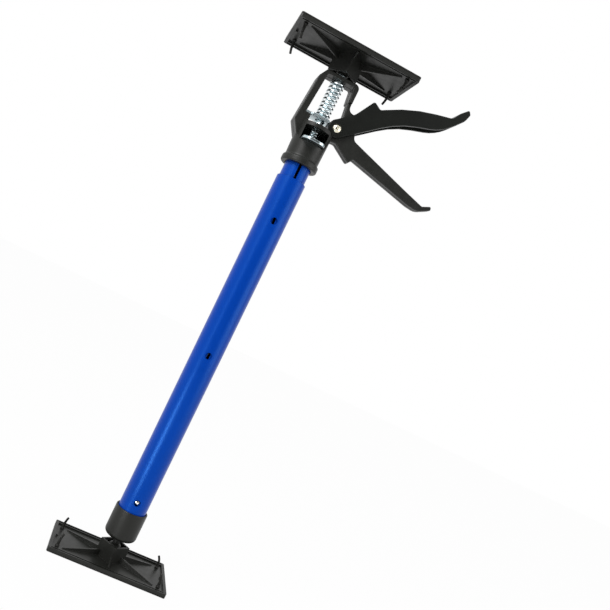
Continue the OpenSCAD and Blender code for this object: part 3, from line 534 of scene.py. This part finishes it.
# %% Name the heights and fits
PAD = 1.8
PLATE_LONG, PLATE_WIDE, PLATE_CORNER, PLATE_FLOOR = 126.6, 70.0, 2.0, 1.4
TOTAL = 556.5
CUP_Z, CUP_TOP = 28.1, 60.1
TUBE_Z, TUBE_TOP = 32.1, 425.7
HOLES_Z = (71.6, 235.6, 381.0)
INNER_Z, INNER_TOP = 51.1, 457.1
COLLAR_Z, LEDGE_TOP, WINDOW_Z, WINDOW_TOP, BRIDGE_Z = 440.1, 459.5, 462.1, 477.1, 481.1
SHOULDER_Z, DRIVE_Z, OPEN_TOP, BODY_TOP = 488.3, 488.6, 524.1, 532.9
VIEW_TOP, VIEW_STEP = 529.4, 515.0
PIVOT = (16.8, 487.9)
FOOT_BALL_Z, BALL_R = 12.8, 8.8
TUBE_R, TUBE_BORE_R, INNER_R, INNER_BORE_R = 15.0, 13.6, 13.25, 12.05
ROD_FLATS = 8.0
# how far a cut reaches past a surface, and past the whole head
OVER, THROUGH = 1.0, 20
print("closed height", TOTAL, "tube", TUBE_TOP - TUBE_Z, "head", round(BODY_TOP - COLLAR_Z, 1))

# %% [markdown]
# ## Tubes
# The outer tube is drawn steel with a painted rim and three holes on the front. The inner
# tube is rolled from strip, so it keeps an open seam, which shows as a dark line under the
# collar. Both are profiles turned about the pole; the seam is the part of the turn left out.


# %% Turn the tubes
def tube_profile(outer, bore, low, high, lip):
    """A thin wall as a closed profile with its four corners broken by lip."""
    return [(outer - lip, low), (outer, low + lip), (outer, high - lip), (outer - lip, high),
            (bore + lip, high), (bore, high - lip), (bore, low + lip), (bore + lip, low)]


HOLE_R, INNER_HOLE_R, RIM_BREAK = 3.4, 3.225, 0.25
outer_tube = make("outer_tube_steel", [revolve(
    tube_profile(TUBE_R, TUBE_BORE_R, TUBE_Z, TUBE_TOP, RIM_BREAK), segments=144)])
combine(outer_tube, cuts=[bar(0, z, HOLE_R, -TUBE_R - OVER, 0) for z in HOLES_Z])
hand_over(outer_tube, "pole", "tube_blue", ["outer_tube"])

SEAM_HALF = 1.5
seam = math.degrees(math.asin(SEAM_HALF / INNER_R))
inner_tube = make("inner_tube_steel", [revolve(
    tube_profile(INNER_R, INNER_BORE_R, INNER_Z, INNER_TOP, RIM_BREAK), segments=132,
    start=270 + seam, stop=630 - seam)])
combine(inner_tube, cuts=[bar(0, HOLES_Z[0], INNER_HOLE_R, -INNER_R - OVER, 0)])
hand_over(inner_tube, "head", "tube_blue", ["inner_tube"])

# %% [markdown]
# ## Foot cup and ball
# The cup is a turned-looking moulding with a soft lower edge and a small flare at its mouth,
# so one profile of radii and heights gives its outside, its mouth and its bore.

# %% Turn the cup
CUP_R, CUP_BORE_R, CUP_ROUND, CUP_LIP = 17.18, 15.03, 4.6, 0.9
CUP_FLARE = ((0.75, 0.15), (0.3, 0.9), (0, 1.8))
SPIGOT_R, SPIGOT_FIT = 2.7, 0.06
foot_cup = make("foot_cup_moulding", [revolve(
    [(SPIGOT_R + SPIGOT_FIT, CUP_Z)]
    + arc((CUP_R - CUP_ROUND, CUP_Z + CUP_ROUND), CUP_ROUND, -90, 0)
    + arc((CUP_R - CUP_LIP, CUP_TOP - CUP_LIP), CUP_LIP, 0, 90, steps=5)
    + [(CUP_BORE_R + wide, CUP_TOP - deep) for wide, deep in CUP_FLARE]
    + [(CUP_BORE_R, TUBE_Z), (SPIGOT_R + SPIGOT_FIT, TUBE_Z)], segments=128)])
hand_over(foot_cup, "pole", "moulded_black", ["foot_cup"])

# %% [markdown]
# The stud is a ball and neck in one, snapped through the cup's floor. Its profile follows the
# ball from below to where the neck leaves it, which is at the angle whose cosine is the neck's
# radius over the ball's.

# %% Turn the ball stud
NECK_R, SNAP_R, STUD_PLAY, SNAP_LIP, STUD_RISE = 3.9, 4.2, 0.2, 0.5, 2.6
BALL_FIRST = -85
neck_angle = math.degrees(math.acos(NECK_R / BALL_R))
foot_stud = make("foot_ball_stud_moulding", [revolve(
    [(0, FOOT_BALL_Z - BALL_R)]
    + arc((0, FOOT_BALL_Z), BALL_R, BALL_FIRST, neck_angle, steps=24)
    + [(NECK_R, CUP_Z - STUD_PLAY), (SPIGOT_R, CUP_Z - STUD_PLAY),
       (SPIGOT_R, TUBE_Z + STUD_PLAY), (SNAP_R, TUBE_Z + STUD_PLAY),
       (SNAP_R, TUBE_Z + SNAP_LIP), (SPIGOT_R, TUBE_Z + STUD_RISE),
       (0, TUBE_Z + STUD_RISE)], segments=72)])
hand_over(foot_stud, "foot_swivel", "moulded_black", ["foot_ball_stud"])

# %% [markdown]
# ## The snap button
# A small plated button with a domed, dimpled crown and a flange that keeps it in the tube. The
# dome's radius follows from its width and height, and the same arc ends at the dimple's rim.

# %% Turn the button
BUTTON_R, FLANGE_R, CROWN_Y, DOME, DIMPLE_R = 2.9, 4.1, -13.48, 1.2, 0.8
FLANGE_FRONT_Y, FLANGE_BACK_Y, FLANGE_BREAK = -8.08, -7.08, 0.2
BUTTON_DIMPLE = ((0, 0.55), (0.6, 0.4))
dome_r = (BUTTON_R ** 2 + DOME ** 2) / (2 * DOME)
dome_edge = math.degrees(math.asin(BUTTON_R / dome_r))
dimple_edge = math.degrees(math.asin(DIMPLE_R / dome_r))
dome_curve = arc((0, CROWN_Y + dome_r), dome_r, -90 + dimple_edge, -90 + dome_edge)
snap_button = make("snap_button_steel", [revolve(
    [(DIMPLE_R * share, CROWN_Y + deep) for share, deep in BUTTON_DIMPLE] + dome_curve
    + [(BUTTON_R, FLANGE_FRONT_Y), (FLANGE_R - FLANGE_BREAK, FLANGE_FRONT_Y),
       (FLANGE_R, FLANGE_FRONT_Y + FLANGE_BREAK), (FLANGE_R, FLANGE_BACK_Y - FLANGE_BREAK),
       (FLANGE_R - FLANGE_BREAK, FLANGE_BACK_Y), (0, FLANGE_BACK_Y)],
    segments=48, axis="y", centre=(0, 0, HOLES_Z[0]))])
hand_over(snap_button, "button", "nickel", ["snap_button"])

# %% [markdown]
# The button sits on a hairpin of flat strip inside the inner tube. Its front leg holds the
# button and its rear leg rests on the tube's wall; the whole strip rides with the button.

# %% Bend the leaf spring
LEAF_FRONT_Y, LEAF_BACK_Y, LEAF_BEND_Z = FLANGE_BACK_Y, 11.21, 63.6
LEAF_FRONT_TOP, LEAF_BACK_TOP, LEAF_HALF, LEAF_THICK = 76.3, 81.3, 3.5, 0.6
leaf_middle = (LEAF_FRONT_Y + LEAF_BACK_Y) / 2
leaf_deep = LEAF_BACK_Y - LEAF_FRONT_Y
leaf_outer = arc((leaf_middle, LEAF_BEND_Z), leaf_deep / 2, 180, 360, steps=24)
leaf_inner = arc((leaf_middle, LEAF_BEND_Z), leaf_deep / 2 - LEAF_THICK, 360, 180, steps=24)
strip = ([(LEAF_FRONT_Y, LEAF_FRONT_TOP)] + leaf_outer
         + [(LEAF_BACK_Y, LEAF_BACK_TOP), (LEAF_BACK_Y - LEAF_THICK, LEAF_BACK_TOP)]
         + leaf_inner + [(LEAF_FRONT_Y + LEAF_THICK, LEAF_FRONT_TOP)])
points, faces = slab([(y, z, 0) for y, z in strip], [(0, -LEAF_HALF), (0, LEAF_HALF)])
snap_spring = make("snap_spring_strip", [(points[:, [1, 0, 2]], faces)])
hand_over(snap_spring, "button", "spring_steel", ["snap_spring"])
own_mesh(snap_spring)

# %% [markdown]
# ## Rubber pads
# Each plate wears a rubber pad that is held by four tails pulled through its corners. The
# tails' free ends were stretched when the pad was fitted, so they stand out and lean.

# %% Mould the pads
PAD_EDGE = 0.5
TAIL_IN_X, TAIL_IN_Y = 8.6, 12.8
TAIL_X, TAIL_Y = PLATE_LONG / 2 - TAIL_IN_X, PLATE_WIDE / 2 - TAIL_IN_Y
TAIL_R, TAIL_HIGH, TAIL_RINGS, TAIL_SIDES = 1.6, 15.4, 26, 12
LEAN_START, LEAN_GAIN = 0.35, 0.312
TAIL_LEANS = ((12, -8), (-14, -10), (10, 12), (-26, 14))
BEAD_LIFT, BEAD_HIGH, BEAD_R, BEAD_END_R = 0.2, 2, 2.5, 1.5
TIP_FROM_R, TIP_R, TIP_RUN = 1.55, 1.2, 10


def pad_corners(length, width, corner):
    """The four corners of a pad about the pole's line, as (x, y, radius)."""
    return [(x * length / 2, y * width / 2, corner) for x, y in SQUARE]


def tail(x, y, lean):
    """A tail as a wire: straight up through the plate with a bead above it, then a tip that
    leans further over the further it goes, as the square of its height."""
    h = np.linspace(0, 1, TAIL_RINGS)
    z = PAD - PAD_EDGE + h * TAIL_HIGH
    over = np.clip(h - LEAN_START, 0, None) ** 2 * LEAN_GAIN
    path = np.stack([x + over * lean[0], y - over * lean[1], z], 1)
    past = z - (PAD + PLATE_FLOOR + BEAD_LIFT)
    bead = BEAD_R - past * (BEAD_R - BEAD_END_R) / BEAD_HIGH
    tip = np.interp(past, [BEAD_HIGH, TIP_RUN], [TIP_FROM_R, TIP_R])
    radius = np.where(past >= BEAD_HIGH, tip, np.where(past > 0, bead, TAIL_R))
    return wire_along(path, radius, TAIL_SIDES)


def pad(name, flip, body, node):
    """A pad with its four tails; flip turns it over for the head, about the pole's middle."""
    shapes = [slab(pad_corners(PLATE_LONG, PLATE_WIDE, PLATE_CORNER),
                   round_edge(0, PAD, PAD_EDGE), "xy")]
    shapes += [tail((2 * i - 1) * TAIL_X, (2 * j - 1) * TAIL_Y, TAIL_LEANS[i + 2 * j])
               for i in (0, 1) for j in (0, 1)]
    if flip:
        turned = np.array([1, -1, -1])
        shapes = [(points * turned + np.array([0, 0, TOTAL]), faces) for points, faces in shapes]
    hand_over(make(name, shapes), body, "pad_rubber", [node])


pad("foot_pad_rubber", False, "foot", "foot_pad")
pad("head_pad_rubber", True, "head_top", "head_pad")

# %% [markdown]
# ## The head moulding
# Collar, open frame, bridge and handle are one moulding, so they are made as three rounded
# shapes and joined. A fine parting line runs round the frame and the handle where the mould's
# halves met. The handle's outline is given in shares of its length from the trigger's pivot,
# because its corners were read from the photograph that way.

# %% Draw the frame and the handle
ARM_HALF, ARM_EDGE, WEB_HALF, WEB_EDGE = 9.5, 1.1, 5.6, 1.3
PARTING = (0.28, 0.35)
COLLAR_R = 17.2
FRAME_CORNERS = (
    (-12.0, COLLAR_Z + 23.8, 0), (-COLLAR_R, COLLAR_Z + 25.6, 0),
    (-25.2, COLLAR_Z + 38.4, 3.0), (-21.2, OPEN_TOP, 1.8), (-15.8, BODY_TOP, 1.8),
    (19.8, BODY_TOP, 5.0), (19.8, VIEW_STEP, 0), (15.8, VIEW_STEP, 0.9), (14.0, VIEW_TOP, 1.8),
    (-13.8, VIEW_TOP, 1.8), (-17.6, SHOULDER_Z, 0), (-12.0, SHOULDER_Z, 0),
)
HANDLE_LONG = 124.5
HANDLE_SHARES = (
    (-0.006, 0.235, 0), (0.027, 0.235, 0), (0.031, 0.165, 0.040), (0.080, 0.160, 0.012),
    (0.162, 0.052, 0.016), (0.159, -0.009, 0.048), (0.724, -0.166, 0),
    (0.905, -0.213, 0.020), (0.976, -0.180, 0.012), (0.984, -0.212, 0.012),
    (0.888, -0.265, 0.110), (0.800, -0.258, 0.150), (0.233, -0.143, 0.012),
    (0.203, -0.187, 0.018), (0.048, -0.098, 0.032), (-0.040, -0.108, 0),
    (-0.040, 0.010, 0), (0.018, 0.050, 0),
)


def from_pivot(shares, size):
    """Corners given as shares of a length, measured from the trigger's pivot."""
    return [(PIVOT[0] + x * size, PIVOT[1] + z * size, r * size) for x, z, r in shares]


head_moulding = make("head_moulding", [slab(FRAME_CORNERS,
                                            round_edge(-ARM_HALF, ARM_HALF, ARM_EDGE, PARTING))])
handle = slab(from_pivot(HANDLE_SHARES, HANDLE_LONG),
              round_edge(-WEB_HALF, WEB_HALF, WEB_EDGE, PARTING))
print("frame faces", len(head_moulding.data.polygons), "handle faces", len(handle[1]))

# %% [markdown]
# The collar is a turned shape with a rolled lip, a slight taper and a rounded shoulder. Its bore
# is turned too, from the flared mouth up through the ledge and the brake's chamber to the rod's
# hole, and is kept for the cuts.

# %% Turn the collar and its bore
LIP_R, LIP_HIGH, LIP_ROUND, COLLAR_TOP_R = 19.0, 6.6, 1.6, 17.9
LIP_FILLET = ((0.25, 0.5), (0, 1.8))
COLLAR_SHOULDER = ((0, 0.9), (0.3, 0.25), (0.9, 0))
CHAMBER_R, LEDGE_R, COLLAR_BORE_R, BORE_FLARE, ROD_HOLE_R = 14.4, 10.5, 13.28, 0.9, 5.02
collar = revolve(
    [(0, COLLAR_Z)]
    + arc((LIP_R - LIP_ROUND, COLLAR_Z + LIP_ROUND), LIP_ROUND, -90, 0, steps=6)
    + arc((LIP_R - LIP_ROUND, COLLAR_Z + LIP_HIGH - LIP_ROUND), LIP_ROUND, 0, 80, steps=5)
    + [(COLLAR_R + wide, COLLAR_Z + LIP_HIGH + high) for wide, high in LIP_FILLET]
    + [(COLLAR_TOP_R - deep, BRIDGE_Z - low) for deep, low in COLLAR_SHOULDER]
    + [(0, BRIDGE_Z)], segments=128)
bore = revolve([
    (0, COLLAR_Z - OVER), (COLLAR_BORE_R + BORE_FLARE, COLLAR_Z - OVER),
    (COLLAR_BORE_R + BORE_FLARE, COLLAR_Z + BORE_FLARE),
    (COLLAR_BORE_R, COLLAR_Z + 2 * BORE_FLARE),
    (COLLAR_BORE_R, INNER_TOP), (LEDGE_R, INNER_TOP), (LEDGE_R, LEDGE_TOP),
    (CHAMBER_R, LEDGE_TOP), (CHAMBER_R, WINDOW_TOP), (ROD_HOLE_R, WINDOW_TOP),
    (ROD_HOLE_R, BODY_TOP + OVER), (0, BODY_TOP + OVER)], segments=96)
print("collar faces", len(collar[1]), "bore faces", len(bore[1]))

# %% [markdown]
# The cuts follow in the order in which a mould's cores would make them: the bore, the brake's
# window, the room on both sides for the trigger's cheeks, the room for its cam, and last the
# slots of the two plates and the pin's hole. The boss round the pin is joined twice, because
# the cam's room takes a part of it away.

# %% Join and cut the head
WINDOW_HALF, WINDOW_FRONT_Y = 12.5, -40
NOSE_ROOM, BOSS_R, BOSS_INSET, CHEEK_IN, PIN_HOLE_R = 9.2, 5.0, 0.01, 6.0, 2.13
CAM_ROOM_R, CAM_ROOM_ANGLES = 9.5, np.linspace(145, 259, 13)
DRIVE_SLOT = ((-19.7, -5.3, SHOULDER_Z), (5.5, 5.3, SHOULDER_Z + 3.9))
BRAKE_SLOT = ((-5.45, 0, 465.15), (5.45, 15.65, 469.05))


def round_pivot(radius, angles):
    """Corners on a circle about the trigger's pivot, at angles in degrees."""
    return [(PIVOT[0] + radius * math.cos(a), PIVOT[1] + radius * math.sin(a), 0)
            for a in np.radians(angles)]


boss_half = WEB_HALF - BOSS_INSET
cam_room = slab([(*PIVOT, 0)] + round_pivot(CAM_ROOM_R, CAM_ROOM_ANGLES),
                [(0, -CHEEK_IN), (0, CHEEK_IN)])
combine(head_moulding,
        joins=[collar, handle, bar(*PIVOT, BOSS_R, -WEB_HALF, WEB_HALF)],
        cuts=[bore,
              box((-WINDOW_HALF, WINDOW_FRONT_Y, WINDOW_Z), (WINDOW_HALF, 0, WINDOW_TOP)),
              bar(*PIVOT, NOSE_ROOM, -THROUGH, -WEB_HALF),
              bar(*PIVOT, NOSE_ROOM, WEB_HALF, THROUGH)])
combine(head_moulding, cuts=[cam_room])
combine(head_moulding,
        joins=[bar(*PIVOT, BOSS_R, -boss_half, boss_half)],
        cuts=[box(*DRIVE_SLOT), box(*BRAKE_SLOT), bar(*PIVOT, PIN_HOLE_R, -THROUGH, THROUGH)])
hand_over(head_moulding, "head", "moulded_black", ["head_body"])

# %% [markdown]
# ## The trigger lever
# The lever is a deep channel: a rounded outline with a hollow under it, two cheeks that
# straddle the web, and a curved web inside its nose that lifts the drive plate. Its outline
# too is given in shares of its length from the pivot. The hollow is the same outline moved
# inwards by the wall, opened along the lower side.

# %% Draw the lever's outlines
LEVER_LONG, LEVER_HALF, LEVER_EDGE, BACK_WALL = 112.0, 9.0, 1.0, 2.5
NOSE_TOP_SHARE = ((-0.050, 0.058, 0),)
LEVER_BACK_SHARES = ((0.095, 0.178, 0.107), (0.199, 0.351, 0.021), (0.276, 0.310, 0.027),
                     (0.509, 0.453, 1.500), (0.891, 0.544, 0.070))
LEVER_FRONT_SHARES = ((0.932, 0.613, 0.100), (0.994, 0.675, 0.014), (1.020, 0.640, 0.014),
                      (1.000, 0.572, 0.100), (0.852, 0.405, 0.400), (0.478, 0.285, 0.850),
                      (0.038, -0.074, 0.089), (-0.027, -0.070, 0))
LEVER_OPEN_SHARES = ((0.940, 0.480, 0), (0.950, 0.200, 0), (0.250, -0.150, 0),
                     (0.080, -0.050, 0))
NOSE_OPEN_SHARES = ((-0.130, -0.130, 0), (-0.130, 0.110, 0), (0.080, 0.230, 0),
                    (0.112, 0.203, 0), (0.140, 0.180, 0), (0.200, -0.130, 0))


def inset_corners(corners, inset):
    """The corners of a clockwise outline moved inwards along the middle of their angle,
    their radii smaller on outer corners and larger on inner ones."""
    c = np.asarray(corners, float)
    before, here, after = np.roll(c, 1, 0)[:, :2], c[:, :2], np.roll(c, -1, 0)[:, :2]
    come, go = unit(here - before), unit(after - here)
    come_in = np.stack([come[:, 1], -come[:, 0]], 1)
    go_in = np.stack([go[:, 1], -go[:, 0]], 1)
    turn = come[:, 0] * go[:, 1] - come[:, 1] * go[:, 0]
    moved = here + (come_in + go_in) / (1 + (come_in * go_in).sum(1))[:, None] * inset
    radius = np.where(c[:, 2] == 0, 0, np.maximum(c[:, 2] + np.sign(turn) * inset, 0))
    return np.column_stack([moved, radius])


hollow_corners = inset_corners(
    from_pivot(LEVER_BACK_SHARES + LEVER_OPEN_SHARES, LEVER_LONG), BACK_WALL)
lever = make("trigger_lever_moulding", [slab(
    from_pivot(NOSE_TOP_SHARE + LEVER_BACK_SHARES + LEVER_FRONT_SHARES, LEVER_LONG),
    round_edge(-LEVER_HALF, LEVER_HALF, LEVER_EDGE))])
print("lever faces before the cuts", len(lever.data.polygons))

# %% [markdown]
# The nose is a thick disc with rounded rims, joined to the channel. The hollow and the nose's
# slot are then cut from one cheek's inner face to the other, and last the cam's web is set
# across them. It reaches a little into both cheeks, so the shapes fuse.

# %% Join and cut the lever
NOSE_R, CAM_R, CAM_IN_R, CAM_ROOT, LEVER_HOLE_R = 8.7, 8.4, 5.5, 0.2, 2.16
CAM_ANGLES = np.linspace(178, 250, 9)
nose_flat = NOSE_R - LEVER_EDGE
nose_profile = ([(0, -LEVER_HALF), (nose_flat, -LEVER_HALF)]
                + arc((nose_flat, LEVER_EDGE - LEVER_HALF), LEVER_EDGE, -90, 0, steps=5)
                + arc((nose_flat, LEVER_HALF - LEVER_EDGE), LEVER_EDGE, 0, 90, steps=5)
                + [(0, LEVER_HALF)])
between_cheeks = [(0, -CHEEK_IN), (0, CHEEK_IN)]
into_cheeks = [(0, -CHEEK_IN - CAM_ROOT), (0, CHEEK_IN + CAM_ROOT)]
cam_web = slab(round_pivot(CAM_R, CAM_ANGLES) + round_pivot(CAM_IN_R, CAM_ANGLES[::-1]),
               into_cheeks)
combine(lever,
        joins=[revolve(nose_profile, axis="y", centre=(PIVOT[0], 0, PIVOT[1]))],
        cuts=[slab(hollow_corners, between_cheeks),
              slab(from_pivot(NOSE_OPEN_SHARES, LEVER_LONG), between_cheeks)])
combine(lever, joins=[cam_web], cuts=[bar(*PIVOT, LEVER_HOLE_R, -THROUGH, THROUGH)])
hand_over(lever, "trigger", "lever_black", ["trigger_lever"])

# %% [markdown]
# ## The pin
# A tubular rivet: its domed head has a deep dimple where the tool spread it. The profile
# runs from the dimple's floor over the dome, down the shank and round the flat rear end.

# %% Turn the pivot pin
PIN_R, PIN_HEAD_R, PIN_HEAD, PIN_RIM = 2.1, 4.15, 1.9, 0.1
PIN_END_R, PIN_END, PIN_BREAK = 3.2, 1.0, 0.3
PIN_FRONT, PIN_BACK, PIN_DIMPLE_R = -9.2, 9.2, 1.25
PIN_DIMPLE = ((0, 1.3), (0.55, 1.1), (0.9, 0.5))
PIN_HOLLOW = ((1.2, 0), (0.8, 0.5), (0, 0.6))
pin_dome_r = (PIN_HEAD_R ** 2 + PIN_HEAD ** 2) / (2 * PIN_HEAD)
pin_top, pin_end = PIN_FRONT - PIN_HEAD, PIN_BACK + PIN_END
first = math.degrees(math.asin(PIN_DIMPLE_R / pin_dome_r))
last = math.degrees(math.asin(PIN_HEAD_R / pin_dome_r))
pivot_pin = make("pivot_pin_rivet", [revolve(
    [(PIN_DIMPLE_R * share, pin_top + deep) for share, deep in PIN_DIMPLE]
    + arc((0, pin_top + pin_dome_r), pin_dome_r, -90 + first, -90 + last, steps=10)
    + [(PIN_HEAD_R - PIN_RIM, PIN_FRONT), (PIN_R, PIN_FRONT), (PIN_R, PIN_BACK),
       (PIN_END_R, PIN_BACK), (PIN_END_R, pin_end - PIN_BREAK), (PIN_END_R - PIN_BREAK, pin_end)]
    + [(radius, pin_end - deep) for radius, deep in PIN_HOLLOW],
    segments=64, axis="y", centre=(PIVOT[0], 0, PIVOT[1]))])
hand_over(pivot_pin, "head", "nickel", ["pivot_pin"])

# %% [markdown]
# ## Stamped plates
# Two thick stampings grip the rod, and tumbling has taken their edges off, so both edges get a
# small radius. The drive plate rocks on the left arm.

# %% Stamp the drive plate
PLATE_THICK, PLATE_EDGE = 3.0, 0.4
HINGE_X, DRIVE_LEFT, DRIVE_RIGHT, TONGUE_END = -17.9, -11.0, 7.6, 11.2
DRIVE_HALF, LEFT_HALF, RIGHT_HALF, DRIVE_HOLE_R = 8.0, 5.0, 4.5, 5.22
drive_corners = [
    (HINGE_X, -LEFT_HALF, 0.4), (DRIVE_LEFT, -LEFT_HALF, 0.6), (DRIVE_LEFT, -DRIVE_HALF, 0.9),
    (DRIVE_RIGHT, -DRIVE_HALF, 0.9), (DRIVE_RIGHT, -RIGHT_HALF, 0.6),
    (TONGUE_END, -RIGHT_HALF, 0.8), (TONGUE_END, RIGHT_HALF, 0.8),
    (DRIVE_RIGHT, RIGHT_HALF, 0.6), (DRIVE_RIGHT, DRIVE_HALF, 0.9),
    (DRIVE_LEFT, DRIVE_HALF, 0.9), (DRIVE_LEFT, LEFT_HALF, 0.6), (HINGE_X, LEFT_HALF, 0.4)]
HOLE_SEGMENTS = 72


def drill(radius, low, high):
    """A round cutter for a hole through a plate, about the pole's line."""
    return revolve([(0, low), (radius, low), (radius, high), (0, high)], HOLE_SEGMENTS)


drive_plate = make("drive_plate_stamping", [slab(
    drive_corners, round_edge(DRIVE_Z, DRIVE_Z + PLATE_THICK, PLATE_EDGE), "xy")])
combine(drive_plate, cuts=[drill(DRIVE_HOLE_R, DRIVE_Z - OVER, DRIVE_Z + PLATE_THICK + OVER)])
hand_over(drive_plate, "drive", "bright_zinc", ["drive_plate"])

# %% [markdown]
# The brake plate slopes in the collar with its round tongue out of the window. It is easiest to
# draw flat: a tongue, a disc and a rear tab are joined and drilled. Then its points are turned
# about the rear tab's seat and lifted to their place.

# %% Stamp the brake plate
BRAKE_HALF, BRAKE_REACH, BRAKE_ROUND, BRAKE_DISC_R = 11.5, 29.0, 9.0, 13.5
BRAKE_TAB, BRAKE_TAB_PAST, BRAKE_BACK, BRAKE_HINGE_Z = 5.0, 1.4, 13.7, 467.1
BRAKE_TILT, BRAKE_THICK, BRAKE_HOLE_R, BRAKE_DRILL = 6.6, 2.4, 4.98, 3
tilt = math.radians(BRAKE_TILT)
half_thick = BRAKE_THICK / 2
back = BRAKE_BACK / math.cos(tilt)
tongue = [(-BRAKE_HALF, 0, 0), (-BRAKE_HALF, -BRAKE_REACH, BRAKE_ROUND),
          (BRAKE_HALF, -BRAKE_REACH, BRAKE_ROUND), (BRAKE_HALF, 0, 0)]
disc = [(0, -half_thick), (BRAKE_DISC_R - PLATE_EDGE, -half_thick),
        (BRAKE_DISC_R, PLATE_EDGE - half_thick), (BRAKE_DISC_R, half_thick - PLATE_EDGE),
        (BRAKE_DISC_R - PLATE_EDGE, half_thick), (0, half_thick)]
tab = [(-BRAKE_TAB, 0, 0), (BRAKE_TAB, 0, 0), (BRAKE_TAB, back + BRAKE_TAB_PAST, PLATE_EDGE),
       (-BRAKE_TAB, back + BRAKE_TAB_PAST, PLATE_EDGE)]
brake_plate = make("brake_plate_stamping", [slab(
    tongue, round_edge(-half_thick, half_thick, PLATE_EDGE), "xy")])
combine(brake_plate,
        joins=[revolve(disc), slab(tab, [(0, -half_thick), (0, half_thick)], "xy")],
        cuts=[drill(BRAKE_HOLE_R, -BRAKE_DRILL, BRAKE_DRILL)])
spots = np.empty(len(brake_plate.data.vertices) * 3)
brake_plate.data.vertices.foreach_get("co", spots)
spots = spots.reshape(-1, 3) / MM - np.array([0, back, 0])
spots = spots @ np.array([[1, 0, 0], [0, math.cos(tilt), math.sin(tilt)],
                          [0, -math.sin(tilt), math.cos(tilt)]])
spots += np.array([0, BRAKE_BACK, BRAKE_HINGE_Z])
brake_plate.data.vertices.foreach_set("co", (spots * MM).ravel())
hand_over(brake_plate, "brake", "bright_zinc", ["brake_plate"])

# %% [markdown]
# ## Springs
# A compression spring is a round wire along a helix whose end curls lie close. Each spring is
# wound between its seats and rides on the head as it is; the seat that stays still when its joint
# moves is the frame's upper edge for the main spring and the window's upper edge for the brake's.

# %% Wind the springs
COIL_RINGS = 36


def coil(radius, wire_r, low, high, turns, closed=0, closed_pitch=0):
    """A helix whose height rises by closed_pitch a turn in the end curls and evenly between
    them, in COIL_RINGS steps a turn."""
    pitch = (high - low - 2 * closed * closed_pitch) / turns
    every = turns + 2 * closed
    turn = np.linspace(0, every, int(every * COIL_RINGS) + 1)
    height = (np.minimum(turn, closed) * closed_pitch
              + np.clip(turn - closed, 0, turns) * pitch
              + np.clip(turn - closed - turns, 0, None) * closed_pitch)
    a = 2 * math.pi * turn
    path = np.stack([radius * np.cos(a), radius * np.sin(a), low + height], 1)
    return wire_along(path, wire_r)


WIRE_CREASE = 60
MAIN_R, MAIN_WIRE_R, MAIN_LOW, MAIN_HIGH = 6.55, 0.95, 492.85, 528.15
MAIN_TURNS, MAIN_CLOSED, MAIN_CLOSED_PITCH = 7.5, 1, 2.6
main_spring = make("main_spring_wire", [coil(MAIN_R, MAIN_WIRE_R, MAIN_LOW, MAIN_HIGH,
                                             MAIN_TURNS, MAIN_CLOSED, MAIN_CLOSED_PITCH)])
hand_over(main_spring, "head", "bright_zinc", ["main_spring"], WIRE_CREASE, "bright_wire")
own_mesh(main_spring)

BRAKE_R, BRAKE_WIRE_R, BRAKE_SPRING_OUT, BRAKE_TURNS, BRAKE_SEAT = 5.6, 0.6, 6.2, 3, 0.9
brake_high = BRAKE_HINGE_Z + half_thick - (BRAKE_BACK - BRAKE_SPRING_OUT) * math.tan(tilt)
brake_spring = make("brake_spring_wire", [coil(BRAKE_R, BRAKE_WIRE_R, brake_high + BRAKE_SEAT,
                                               WINDOW_TOP - BRAKE_SEAT, BRAKE_TURNS)])
hand_over(brake_spring, "head", "bright_zinc", ["brake_spring"], WIRE_CREASE, "bright_wire")
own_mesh(brake_spring)

# %% [markdown]
# ## The rod
# A drawn hexagonal bar has slightly rounded corners and a chamfered end. Its top is turned
# round and riveted over in the ball.

# %% Draw the rod
ROD_Z, ROD_SHOULDER, ROD_END_R, ROD_CORNER = 181.63, 536.13, 3.0, 0.35
ROD_ROOT, RIVET_GAP, RIVET_R, RIVET_HIGH, RIVET_BREAK = 1.5, 0.05, 4.5, 1.5, 0.5
RIVET_Z = 549.13
ROD_CORNER_ANGLES = np.radians(np.arange(30, 390, 60))
ROD_PROFILE = ((0.7, ROD_Z), (0, ROD_Z + 0.9), (0, ROD_SHOULDER - 0.4), (0.4, ROD_SHOULDER))
rod_r = ROD_FLATS / math.sqrt(3)
hexagon = [(rod_r * math.cos(a), rod_r * math.sin(a), ROD_CORNER) for a in ROD_CORNER_ANGLES]
rivet_top = RIVET_Z + RIVET_HIGH
rivet = [(0, ROD_SHOULDER - ROD_ROOT), (ROD_END_R, ROD_SHOULDER - ROD_ROOT),
         (ROD_END_R, RIVET_Z + RIVET_GAP), (RIVET_R, RIVET_Z + RIVET_GAP),
         (RIVET_R, rivet_top - RIVET_BREAK), (RIVET_R - RIVET_BREAK, rivet_top), (0, rivet_top)]
push_rod = make("push_rod_bar", [slab(hexagon, ROD_PROFILE, "xy", step=30),
                                 revolve(rivet, segments=48)])
hand_over(push_rod, "rod", "bright_zinc", ["push_rod"])
